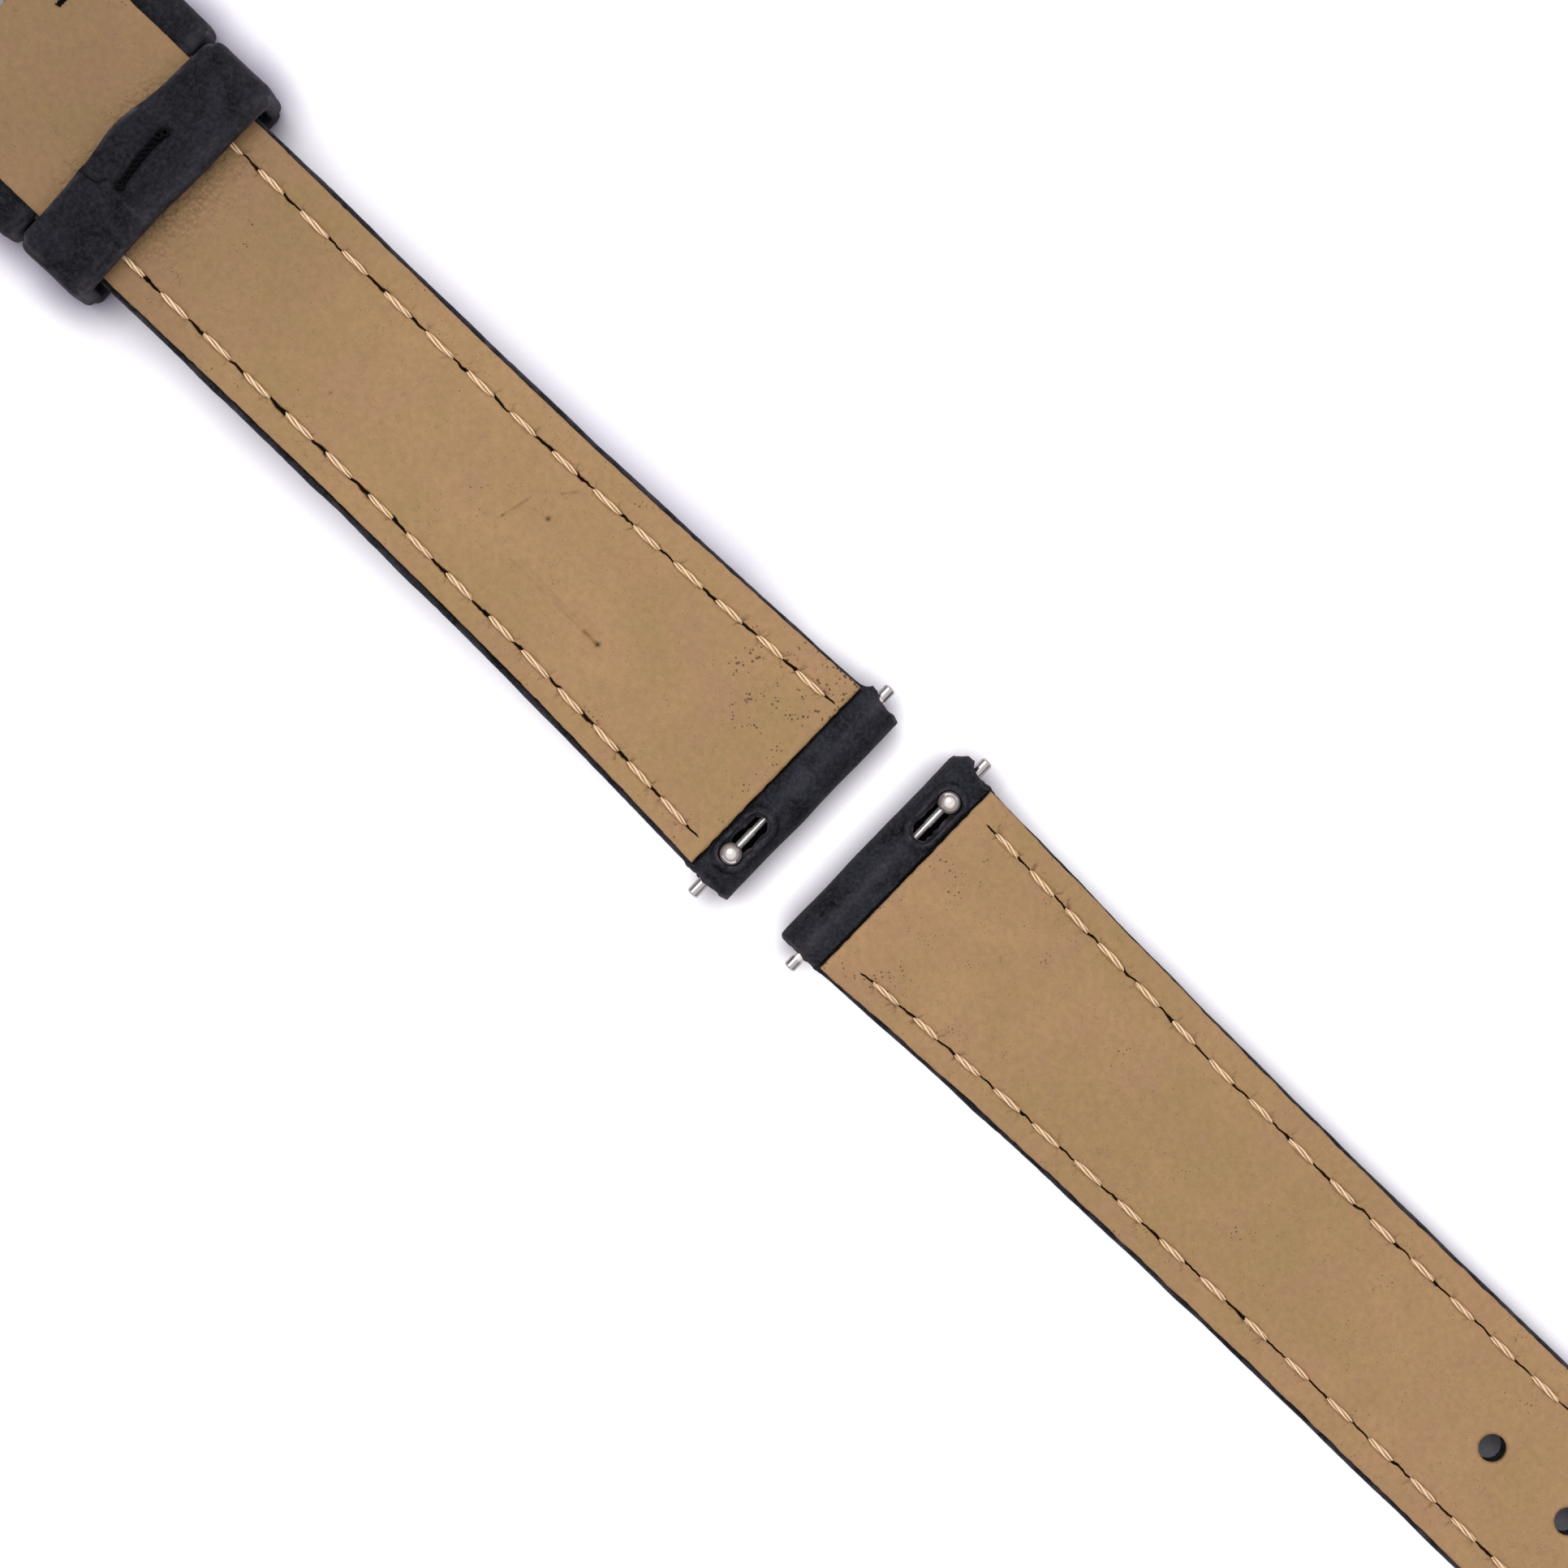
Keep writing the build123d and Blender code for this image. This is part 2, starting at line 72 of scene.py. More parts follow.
# each half: which way it runs, and its slopes; then by side how open its slits are, how far its
# lining reaches over the rim at the cover places, and its seam: first stitch, pitch near the lug
# and beyond, sideways drift at the lug and beyond
halves = {
    "short": {"hand": -1, "length": 82.2, "slopes": (0.0336134, 0.0336134), "liningStop": 80.64,
              "seamStop": 62.9, "stitch": 2.2, "seed": 11, "slitShare": {-1: 0.72, 1: 1.0},
              "rimCover": {-1: (0.26, 0.20, 0.07, 0.13, 0.15), 1: (0.14, -0.03, -0.08, -0.04, 0.08)},
              "seams": {-1: (4.35, 3.82, 4.05, -0.12, -0.17), 1: (5.0, 3.55, 4.0, 0.27, 0.01)}},
    "long": {"hand": 1, "length": 120.9, "slopes": (-0.0429594, 0.0), "liningStop": 120.45,
             "seamStop": 107.9, "stitch": 2.05, "seed": 47, "slitShare": {-1: 0.6, 1: 0.55},
             "rimCover": {-1: (0.22, 0.10, 0.11, 0.11, 0.11), 1: (0.35, 0.35, 0.27, 0.17, 0.18)},
             "seams": {-1: (6.1, 3.82, 4.11, 0.26, 0.03), 1: (5.05, 3.62, 4.02, 0.28, 0.08)}},
}
for halfName, half in halves.items():
    low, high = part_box(halfName + "_bar_tube")
    half["name"] = halfName
    half["barX"] = (low.x + high.x) / 2 / millimetre
    half["middleY"] = (low.y + high.y) / 2 / millimetre


# the strap's own frame: x along it from the lug bar, y across, z up

def toWorld(half, x, y, z):
    along = half["barX"] + half["hand"] * x
    across = half["middleY"] + half["hand"] * y
    return np.stack(np.broadcast_arrays(along, across, z), axis=-1)


def toStrap(half, points):
    x = (points[:, 0] - half["barX"]) * half["hand"]
    y = (points[:, 1] - half["middleY"]) * half["hand"]
    return x, y, points[:, 2]


def liningTop(half, x):
    first, second = half["slopes"]
    bend = strapPlan["taperEnd"]
    return strapPlan["lugTop"] + first * np.minimum(x, bend) + second * np.maximum(x - bend, 0)


def flareShare(x):
    run = strapPlan["taperEnd"] - strapPlan["taperStart"]
    return (np.clip(strapPlan["taperEnd"] - x, 0, run) / run) ** 2


def seamLine(half, side, x):
    near, far = half["seams"][side][3:]
    drift = far + (near - far) * np.clip(1 - x / strapPlan["driftRun"], 0, 1)
    return strapPlan["seamEnd"] + (strapPlan["seamLug"] - strapPlan["seamEnd"]) * flareShare(x) + drift


# y of the upper arc through three points
def arcHeight(x, first, second, third):
    (ax, ay), (bx, by), (cx, cy) = first, second, third
    turn = 2 * (ax * (by - cy) + bx * (cy - ay) + cx * (ay - by))
    a, b, c = ax * ax + ay * ay, bx * bx + by * by, cx * cx + cy * cy
    middleX = (a * (by - cy) + b * (cy - ay) + c * (ay - by)) / turn
    middleY = (a * (cx - bx) + b * (ax - cx) + c * (bx - ax)) / turn
    radius = math.hypot(ax - middleX, ay - middleY)
    return middleY + np.sqrt(np.maximum(radius ** 2 - (x - middleX) ** 2, 0))


def halfWidth(half, x, inset=0.0):
    plan = strapPlan
    end = plan["endHalf"] - inset
    width = end + (plan["lugHalf"] - plan["endHalf"]) * flareShare(x)
    if half["name"] == "short":
        return width
    tip = half["length"] - inset
    start = half["length"] - plan["pointLength"]
    shoulder = (tip - plan["shoulderBack"], end * plan["shoulderShare"])
    brow = (tip - plan["pointDepth"], plan["pointHalf"])
    side = arcHeight(x, (start, end), shoulder, brow)
    nose = arcHeight(x, brow, (tip - plan["noseBack"], plan["noseSide"]), (tip, 0.0))
    width = np.where(x > start, np.minimum(side, end), width)
    return np.where(x > brow[0], np.maximum(nose, 0.02), width)


# how far the lining reaches over the face leather's rim, past its usual inset
def rimCover(half, side, x):
    covers = (*half["rimCover"][side], *strapPlan["coverAtTip"])
    return np.interp(x, strapPlan["coverPlaces"], covers)


# smooth seeded noise from -1 to 1, size in the points' own unit
def softNoise(points, size, seed):
    scaled = np.asarray(points, float) / size + seed * 3.77
    cell = np.floor(scaled).astype(np.int64)
    part = scaled - cell
    part = part * part * (3 - 2 * part)
    total = np.zeros(len(scaled))
    for corner in range(8):
        step = np.array([corner & 1, corner >> 1 & 1, corner >> 2 & 1])
        node = cell + step
        hashed = node[:, 0] * 73856093 ^ node[:, 1] * 19349663 ^ node[:, 2] * 83492791 ^ seed * 40503
        hashed = (hashed ^ (hashed >> 13)) * 1274126177 & 0xFFFFFFFF
        value = ((hashed ^ (hashed >> 16)) & 0xFFFF) / 32767.5 - 1
        total += value * np.prod(np.where(step, part, 1 - part), axis=1)
    return total


def lineNoise(x, size, seed):
    x = np.asarray(x, float)
    return softNoise(np.stack([x, 0 * x, 0 * x], axis=-1), size, seed)


# stands for too far off to matter
farOff = 9.0


# distance to the nearest of scattered seeds in plan, in cells
def cellNoise(x, y, size, seed):
    placeX, placeY = x / size, y / size
    cellX, cellY = np.floor(placeX), np.floor(placeY)
    nearest = np.full(np.shape(x), farOff)
    for stepX in (-1, 0, 1):
        for stepY in (-1, 0, 1):
            seedX, seedY = cellX + stepX, cellY + stepY
            shift = np.sin(seedX * 127.1 + seedY * 311.7 + seed) * 43758.5
            second = np.sin(seedX * 269.5 + seedY * 183.3 + seed) * 24634.6
            awayX = seedX + shift - np.floor(shift) - placeX
            awayY = seedY + second - np.floor(second) - placeY
            nearest = np.minimum(nearest, np.hypot(awayX, awayY))
    return nearest


def bump(distance, width):
    return np.exp(-(distance / width) ** 2)


# distance in plan from each point to a straight run
def runDistance(x, y, start, end):
    runX, runY = end[0] - start[0], end[1] - start[1]
    share = np.clip(((x - start[0]) * runX + (y - start[1]) * runY) / (runX ** 2 + runY ** 2), 0, 1)
    return np.hypot(x - start[0] - share * runX, y - start[1] - share * runY)


# finishes

def newFinish(name, **settings):
    finish = bpy.data.materials.new(name)
    finish.use_nodes = True
    tree = finish.node_tree
    shader = tree.nodes["Principled BSDF"]
    for socket, value in settings.items():
        shader.inputs[socket.replace("_", " ")].default_value = value
    return finish, tree, shader


def addNode(tree, kind, links=(), **settings):
    node = tree.nodes.new("ShaderNode" + kind)
    for name, value in settings.items():
        socket = name.replace("_", " ")
        if socket in node.inputs:
            node.inputs[socket].default_value = value
        else:
            setattr(node, name, value)
    for socket, source in dict(links).items():
        tree.links.new(source, node.inputs[socket])
    return node


def placeInMillimetres(tree):
    place = addNode(tree, "TexCoord")
    scaled = addNode(tree, "Mapping", {"Vector": place.outputs["Object"]}, Scale=(1000, 1000, 1000))
    return scaled.outputs["Vector"]


def noiseAt(tree, place, scale, detail=2.0, roughness=0.5, distortion=0.0):
    return addNode(tree, "TexNoise", {"Vector": place}, Scale=scale, Detail=detail, Roughness=roughness,
                   Distortion=distortion).outputs["Fac"]


def spread(tree, value, low, high, newLow=0.0, newHigh=1.0):
    return addNode(tree, "MapRange", {"Value": value}, From_Min=low, From_Max=high,
                   To_Min=newLow, To_Max=newHigh).outputs["Result"]


def mixed(tree, factor, first, second, blend="MIX"):
    node = tree.nodes.new("ShaderNodeMix")
    node.data_type = "RGBA"
    node.blend_type = blend
    for socket, value in ((node.inputs[0], factor), (node.inputs[6], first), (node.inputs[7], second)):
        if isinstance(value, bpy.types.NodeSocket):
            tree.links.new(value, socket)
        elif isinstance(value, tuple):
            socket.default_value = (*value, 1)
        else:
            socket.default_value = value
    return node.outputs[2]


def maths(tree, operation, first, second=0.0):
    node = addNode(tree, "Math", operation=operation)
    for socket, value in zip(node.inputs, (first, second)):
        if isinstance(value, bpy.types.NodeSocket):
            tree.links.new(value, socket)
        else:
            socket.default_value = value
    return node.outputs[0]


def carried(tree, name):
    return addNode(tree, "Attribute", attribute_name=name).outputs["Fac"]


def addBump(tree, shader, height, strength, depth):
    node = addNode(tree, "Bump", {"Height": height}, Strength=strength, Distance=depth * millimetre)
    tree.links.new(node.outputs["Normal"], shader.inputs["Normal"])


# specks lie in loose clusters, more of them at the lug ends
def addSpecks(tree, place, colour, look):
    cells = addNode(tree, "TexVoronoi", {"Vector": place}, Scale=3.0, Randomness=1.0)
    cluster = noiseAt(tree, place, 0.33, 2.0, 0.6)
    reach = spread(tree, cluster, 0.48, 0.72, -0.04, 0.22)
    lugReach = spread(tree, noiseAt(tree, place, 0.8, 2.0, 0.6), 0.40, 0.62, 0.0, 0.46)
    reach = maths(tree, "ADD", reach, maths(tree, "MULTIPLY", carried(tree, "specks"), lugReach))
    dot = spread(tree, maths(tree, "SUBTRACT", reach, cells.outputs["Distance"]), -0.02, 0.04)
    colour = mixed(tree, maths(tree, "MULTIPLY", dot, 0.85), colour, look["speckAndShade"])
    fine = addNode(tree, "TexVoronoi", {"Vector": place}, Scale=4.3, Randomness=1.0).outputs["Distance"]
    fineReach = spread(tree, noiseAt(tree, place, 0.8, 3.0, 0.7), 0.40, 0.72, 0.04, 0.34)
    fineDot = spread(tree, maths(tree, "SUBTRACT", fineReach, fine), -0.03, 0.08)
    return mixed(tree, maths(tree, "MULTIPLY", fineDot, 0.38), colour, look["speckAndShade"]), dot


# close pebbles where the keeper rubs: a painted highlight makes the upper side and crown of each paler,
# painted shade darkens the lower side and the valleys
def addPebbles(tree, place, colour, look):
    pebbles = addNode(tree, "TexVoronoi", {"Vector": place}, Scale=2.7, Randomness=1.0).outputs["Distance"]
    patches = spread(tree, noiseAt(tree, place, 0.8, 3.0, 0.6), 0.36, 0.56)
    ruffled = maths(tree, "MULTIPLY", carried(tree, "pebbled"), patches)
    # painted shade in the pebbles' valleys and a painted highlight on their crowns
    valley = maths(tree, "MULTIPLY", ruffled, spread(tree, pebbles, 0.35, 0.8))
    crown = maths(tree, "MULTIPLY", ruffled, spread(tree, pebbles, 0.32, 0.1))
    colour = mixed(tree, maths(tree, "MULTIPLY", valley, 0.10), colour, look["speckAndShade"])
    colour = mixed(tree, maths(tree, "MULTIPLY", crown, 0.10), colour, look["litAndRubbed"])
    aside = addNode(tree, "Mapping", {"Vector": place}, Location=(-0.08, 0.08, 0.0)).outputs["Vector"]
    beside = addNode(tree, "TexVoronoi", {"Vector": aside}, Scale=2.7, Randomness=1.0).outputs["Distance"]
    # painted light across each pebble: lit on the upper side, shaded on the lower one
    slope = maths(tree, "SUBTRACT", beside, pebbles)
    litAndRubbed = maths(tree, "MULTIPLY", ruffled, spread(tree, slope, 0.03, 0.24, 0.0, 0.25))
    lowerSideShade = maths(tree, "MULTIPLY", ruffled, spread(tree, slope, -0.03, -0.24, 0.0, 0.17))
    colour = mixed(tree, litAndRubbed, colour, look["litAndRubbed"])
    return mixed(tree, lowerSideShade, colour, look["speckAndShade"]), valley


# smooth tan lining: slow olive and pink drifts, pores, specks, and painted shade that darkens it in its
# slits, holes and creases
def makeLiningFinish():
    look = {"tan": (0.425, 0.252, 0.120), "olive": (0.375, 0.236, 0.102), "pink": (0.40, 0.222, 0.120),
            "dark": (0.012, 0.007, 0.005), "speckAndShade": (0.09, 0.048, 0.025), "litAndRubbed": (0.66, 0.43, 0.23),
            "roughness": 0.62}
    finish, tree, shader = newFinish("tanLining", Roughness=look["roughness"], Specular_IOR_Level=0.28)
    place = placeInMillimetres(tree)
    drift = spread(tree, noiseAt(tree, place, 0.11, 2.0, 0.5, 0.6), 0.38, 0.62)
    second = spread(tree, noiseAt(tree, place, 0.27, 3.0, 0.55, 0.4), 0.42, 0.66)
    colour = mixed(tree, drift, look["tan"], look["olive"])
    colour = mixed(tree, maths(tree, "MULTIPLY", second, 0.55), colour, look["pink"])
    mottle = spread(tree, noiseAt(tree, place, 1.9, 5.0, 0.68), 0.3, 0.7, 0.89, 1.09)
    shade = addNode(tree, "CombineColor", {"Red": mottle, "Green": mottle, "Blue": mottle}).outputs[0]
    colour = mixed(tree, 1.0, colour, shade, "MULTIPLY")
    colour, dot = addSpecks(tree, place, colour, look)
    colour, valley = addPebbles(tree, place, colour, look)
    colour = mixed(tree, maths(tree, "MULTIPLY", carried(tree, "tone"), 0.27), colour, (0.0, 0.0, 0.0))
    # grime and painted shade: darker in the slits, needle holes, stitch beds, creases, hole rims and along
    # the edges
    colour = mixed(tree, carried(tree, "grimeAndShade"), colour, look["dark"])
    tree.links.new(colour, shader.inputs["Base Color"])
    dulled = spread(tree, carried(tree, "grimeAndShade"), 0.0, 0.7, 0.28, 0.0)
    tree.links.new(dulled, shader.inputs["Specular IOR Level"])
    pores = addNode(tree, "TexVoronoi", {"Vector": place}, Scale=5.5, Randomness=1.0).outputs["Distance"]
    grain = maths(tree, "ADD", maths(tree, "MULTIPLY", pores, 0.6), noiseAt(tree, place, 9.0, 3.0, 0.6))
    pits = maths(tree, "ADD", maths(tree, "MULTIPLY", dot, 1.5), maths(tree, "MULTIPLY", valley, 14.0))
    addBump(tree, shader, maths(tree, "SUBTRACT", grain, pits), 0.3, 0.06)
    return finish


# black nubuck: blue-grey mottling, fine nap, paler along worn edges and under painted highlights, near black
# where painted shade falls in creases
def makeNubuckFinish(name, tone):
    look = {"deep": (0.0035, 0.0036, 0.0060), "mid": (0.0235, 0.0240, 0.034), "pale": (0.092, 0.094, 0.115),
            "edge": (0.120, 0.106, 0.126), "roughness": 0.6}
    look.update({part: tuple(tone * c for c in look[part]) for part in ("deep", "mid", "pale")})
    finish, tree, shader = newFinish(name, Roughness=look["roughness"], Specular_IOR_Level=0.09,
                                     Sheen_Weight=0.02, Sheen_Roughness=0.5)
    place = placeInMillimetres(tree)
    broad = spread(tree, noiseAt(tree, place, 0.45, 5.0, 0.7, 0.6), 0.34, 0.66)
    fine = spread(tree, noiseAt(tree, place, 3.4, 5.0, 0.72, 0.3), 0.44, 0.74)
    colour = mixed(tree, broad, look["deep"], look["mid"])
    colour = mixed(tree, maths(tree, "MULTIPLY", fine, 0.42), colour, look["pale"])
    # paler where worn, and under painted highlights on the band's crest and the keepers' rounded sides
    colour = mixed(tree, maths(tree, "MULTIPLY", carried(tree, "wearAndHighlight"), 0.8), colour, look["edge"])
    # painted shade: near black in creases, in the staple's dent and round the window
    colour = mixed(tree, carried(tree, "crease"), colour, (0.0012, 0.0012, 0.0018))
    tree.links.new(colour, shader.inputs["Base Color"])
    dulled = spread(tree, carried(tree, "crease"), 0.0, 0.8, 0.09, 0.0)
    tree.links.new(dulled, shader.inputs["Specular IOR Level"])
    dents = maths(tree, "MULTIPLY", noiseAt(tree, place, 1.9, 3.0, 0.65), 1.4)
    nap = maths(tree, "ADD", noiseAt(tree, place, 7.0, 4.0, 0.7), dents)
    addBump(tree, shader, nap, 0.7, 0.12)
    return finish


def makeThreadFinish(name, high, low, roughness, gloss):
    finish, tree, shader = newFinish(name, Roughness=roughness, Specular_IOR_Level=gloss)
    place = placeInMillimetres(tree)
    streak = spread(tree, noiseAt(tree, place, 5.0, 4.0, 0.7), 0.3, 0.7)
    # painted shade: each ply darkens towards the grooves between the plies
    crown = spread(tree, carried(tree, "crown"), 0.5, 0.92)
    colour = mixed(tree, crown, low, high)
    colour = mixed(tree, maths(tree, "MULTIPLY", streak, 0.16), colour, low)
    tree.links.new(colour, shader.inputs["Base Color"])
    addBump(tree, shader, noiseAt(tree, place, 16.0, 3.0, 0.6), 0.3, 0.03)
    return finish


def makeSteelFinish(name, tint, roughness, scratches, metal=1.0):
    finish, tree, shader = newFinish(name, Metallic=metal)
    place = placeInMillimetres(tree)
    smudge = noiseAt(tree, place, 0.9, 3.0, 0.6)
    smudge = spread(tree, smudge, 0.3, 0.7, roughness * 0.8, roughness * 1.5)
    tree.links.new(smudge, shader.inputs["Roughness"])
    cloud = spread(tree, noiseAt(tree, place, 1.7, 2.0), 0.35, 0.65)
    colour = mixed(tree, cloud, tint, tuple(0.88 * c for c in tint))
    tree.links.new(colour, shader.inputs["Base Color"])
    addBump(tree, shader, noiseAt(tree, place, 14.0, 3.0, 0.65), scratches, 0.01)
    return finish


# the release pins: painted bright where they lie in the shaded window, to stand in for the light the window
# keeps off; duller at their tips
def makePinFinish():
    look = {"tip": (0.46, 0.425, 0.42), "tipRoughness": 0.2, "tipStart": 8.6, "tipFull": 8.8,
            "litRod": (1.0, 0.95, 0.92), "rodRoughness": 0.16, "rodMetal": 0.5}
    finish, tree, shader = newFinish("pinSteel", Metallic=1.0)
    place = placeInMillimetres(tree)
    across = maths(tree, "ABSOLUTE", addNode(tree, "SeparateXYZ", {"Vector": place}).outputs["Y"])
    outside = spread(tree, across, look["tipStart"], look["tipFull"])
    tree.links.new(mixed(tree, outside, look["litRod"], look["tip"]), shader.inputs["Base Color"])
    rough = spread(tree, outside, 0, 1, look["rodRoughness"], look["tipRoughness"])
    tree.links.new(rough, shader.inputs["Roughness"])
    tree.links.new(spread(tree, outside, 0, 1, look["rodMetal"], 1.0), shader.inputs["Metallic"])
    addBump(tree, shader, noiseAt(tree, place, 12.0, 3.0, 0.65), 0.05, 0.01)
    return finish


def makeFibreFinish(name, first, second, scale):
    finish, tree, shader = newFinish(name, Roughness=0.92, Specular_IOR_Level=0.2)
    place = placeInMillimetres(tree)
    fibres = noiseAt(tree, place, scale, 5.0, 0.7, 1.2)
    colour = mixed(tree, spread(tree, fibres, 0.35, 0.65), first, second)
    # painted shade darkens the walls of the punched holes
    colour = mixed(tree, carried(tree, "grimeAndShade"), colour, (0.008, 0.007, 0.007))
    tree.links.new(colour, shader.inputs["Base Color"])
    addBump(tree, shader, fibres, 0.5, 0.08)
    return finish


finishes = {
    "tanLining": makeLiningFinish(),
    "blackNubuck": makeNubuckFinish("blackNubuck", 1.0),
    "keeperNubuck": makeNubuckFinish("keeperNubuck", 0.70),
    "tanThread": makeThreadFinish("tanThread", (1.0, 0.77, 0.50), (0.60, 0.31, 0.15), 0.42, 0.45),
    "blackThread": makeThreadFinish("blackThread", (0.006, 0.006, 0.007), (0.0006, 0.0006, 0.0008),
                                    0.5, 0.03),
    "polishedSteel": makeSteelFinish("polishedSteel", (0.66, 0.63, 0.61), 0.13, 0.10),
    "knobSteel": makeSteelFinish("knobSteel", (0.84, 0.77, 0.75), 0.08, 0.04, 0.74),
    "satinSteel": makeSteelFinish("satinSteel", (0.62, 0.60, 0.585), 0.30, 0.15),
    "pinSteel": makePinFinish(),
    # near black steel for the bar tubes: painted shade inside the windows
    "windowShadeSteel": makeSteelFinish("windowShadeSteel", (0.05, 0.05, 0.053), 0.35, 0.2),
    "springSteel": makeSteelFinish("springSteel", (0.58, 0.57, 0.57), 0.3, 0.2),
    "bondedCore": makeFibreFinish("bondedCore", (0.30, 0.26, 0.20), (0.22, 0.18, 0.13), 2.5),
    "paddingFelt": makeFibreFinish("paddingFelt", (0.60, 0.56, 0.50), (0.48, 0.44, 0.38), 1.8),
}
print("strap: finishes made")


# building pieces

def newPiece(name, points, faces, finish, sharpAngle=None):
    data = bpy.data.meshes.new(name)
    data.from_pydata((np.asarray(points) * millimetre).tolist(), [], faces)
    data.polygons.foreach_set("use_smooth", np.ones(len(data.polygons), bool))
    if sharpAngle:
        data.set_sharp_from_angle(angle=math.radians(sharpAngle))
    data.materials.append(finishes[finish])
    piece = bpy.data.objects.new(name, data)
    bpy.context.scene.collection.objects.link(piece)
    return piece


def carry(piece, name, values):
    layer = piece.data.attributes.new(name, "FLOAT", "POINT")
    layer.data.foreach_set("value", np.clip(values, 0, 1).astype(np.float32))


def mount(piece, body, slotName, *replaced):
    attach(piece, body)
    if replaced:
        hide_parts(*replaced)


# a slab from two grids of points, with the cells that aren't kept cut out and the cut walled
def slabFaces(keep):
    rows, columns = keep.shape
    index = np.arange((rows + 1) * (columns + 1)).reshape(rows + 1, columns + 1)
    corners = np.stack([index[:-1, :-1], index[1:, :-1], index[1:, 1:], index[:-1, 1:]], axis=-1)
    top = corners[keep]
    under = index.size
    faces = [top, top[:, ::-1] + under]
    padded = np.pad(keep, 1)
    neighbours = ((-1, 0, 3, 0), (1, 0, 1, 2), (0, -1, 0, 1), (0, 1, 2, 3))
    for stepX, stepY, first, second in neighbours:
        outside = ~padded[1 + stepX:rows + 1 + stepX, 1 + stepY:columns + 1 + stepY]
        edge = corners[keep & outside]
        a, b = edge[:, first], edge[:, second]
        faces.append(np.stack([b, a, a + under, b + under], axis=-1))
    return np.concatenate(faces)


def dropLoose(points, faces, *values):
    used = np.unique(faces)
    renumber = np.full(len(points), -1)
    renumber[used] = np.arange(len(used))
    return points[used], renumber[faces].tolist(), [value[used] for value in values]


def stitchRuns(half, side, start=None):
    first, near, far = half["seams"][side][:3]
    middle = [start or first]
    while middle[-1] < half["seamStop"] - 4:
        middle.append(middle[-1] + (near if middle[-1] < strapPlan["pitchChange"] else far))
    random = np.random.default_rng(half["seed"] + 5 * side)
    middle = np.array(middle) + random.uniform(-0.1, 0.1, len(middle))
    length = half["stitch"] + random.uniform(-0.2, 0.2, len(middle))
    return middle - length / 2, middle + length / 2


# the slits between stitches, as (start, end, half width at the start, half width at the end)
def seamSlits(half, side):
    starts, ends = stitchRuns(half, side)
    random = np.random.default_rng(half["seed"] + 9 * side + 100)
    slits = [(starts[0] - random.uniform(1.1, 1.5), starts[0] + 0.1, 0.03, 0.08)]
    for end, start in zip(ends[:-1], starts[1:]):
        wide, narrow = random.uniform(0.10, 0.17), random.uniform(0.035, 0.07)
        wide, narrow = wide * half["slitShare"][side], narrow * half["slitShare"][side]
        first, second = (wide, narrow) if random.uniform() < 0.5 else (narrow, wide)
        slits.append((end - 0.1, start + 0.1, first, second))
    return slits


# the lining's surface marks, in strap millimetres: scratches, nicks and spots
liningMarks = {
    "short": {"scratches": [((25.6, 2.0), (16.97, 2.05), 0.17), ((25.0, 1.5), (17.4, 1.85), 0.15),
                            ((18.4, 2.03), (16.97, 2.05), 0.30), ((28.1, 0.3), (27.5, -2.2), 0.24),
                            ((26.8, -1.7), (25.7, -1.9), 0.4),
                            ((26.1, -3.8), (25.4, -4.7), 0.28), ((41.0, 0.7), (37.5, 1.9), 0.14)],
              "spots": [(16.97, 2.05, 0.19, 0.9), (42.7, 2.38, 0.10, 0.6), (25.62, -1.9, 0.17, 0.85)]},
    "long": {"scratches": [((30.0, 2.2), (33.0, 1.4), 0.05)],
             "spots": [(3.0, 7.6, 0.10, 0.5), (4.2, -7.5, 0.10, 0.5), (48.3, 3.1, 0.08, 0.3)]},
}
# close rows of points lie where stitches, scratches and wrinkles need them
liningLook = {"closeRows": {"short": ((2.0, 13.0), (16.6, 28.4), (56.2, 60.2), (65.2, 67.4)),
                            "long": ((2.0, 13.0),)},
              "closeStep": 0.07, "rowStep": 0.14, "slitDepth": 0.5, "seamPull": 0.08,
              "edgeRound": 0.12, "swell": 0.05, "seamZone": 0.5,
              # places of the wrinkles along the strap, with their reach and depth
              "wrinkles": ((59.3, 2.0, 0.09), (65.9, 1.1, 0.05))}


def liningRows(half):
    look, start, stop = liningLook, strapPlan["liningSetback"], half["liningStop"]
    x = np.arange(start + 0.25, stop - 1.2, look["rowStep"])
    for low, high in look["closeRows"][half["name"]]:
        x = x[(x < low) | (x > high)]
        x = np.sort(np.concatenate([x, np.arange(low, high, look["closeStep"])]))
    lastRows = stop - np.linspace(1.2, 0, 26) ** 1.3 / 1.2 ** 0.3
    return np.concatenate([start + np.array([0, 0.03, 0.08, 0.15]), x, lastRows])


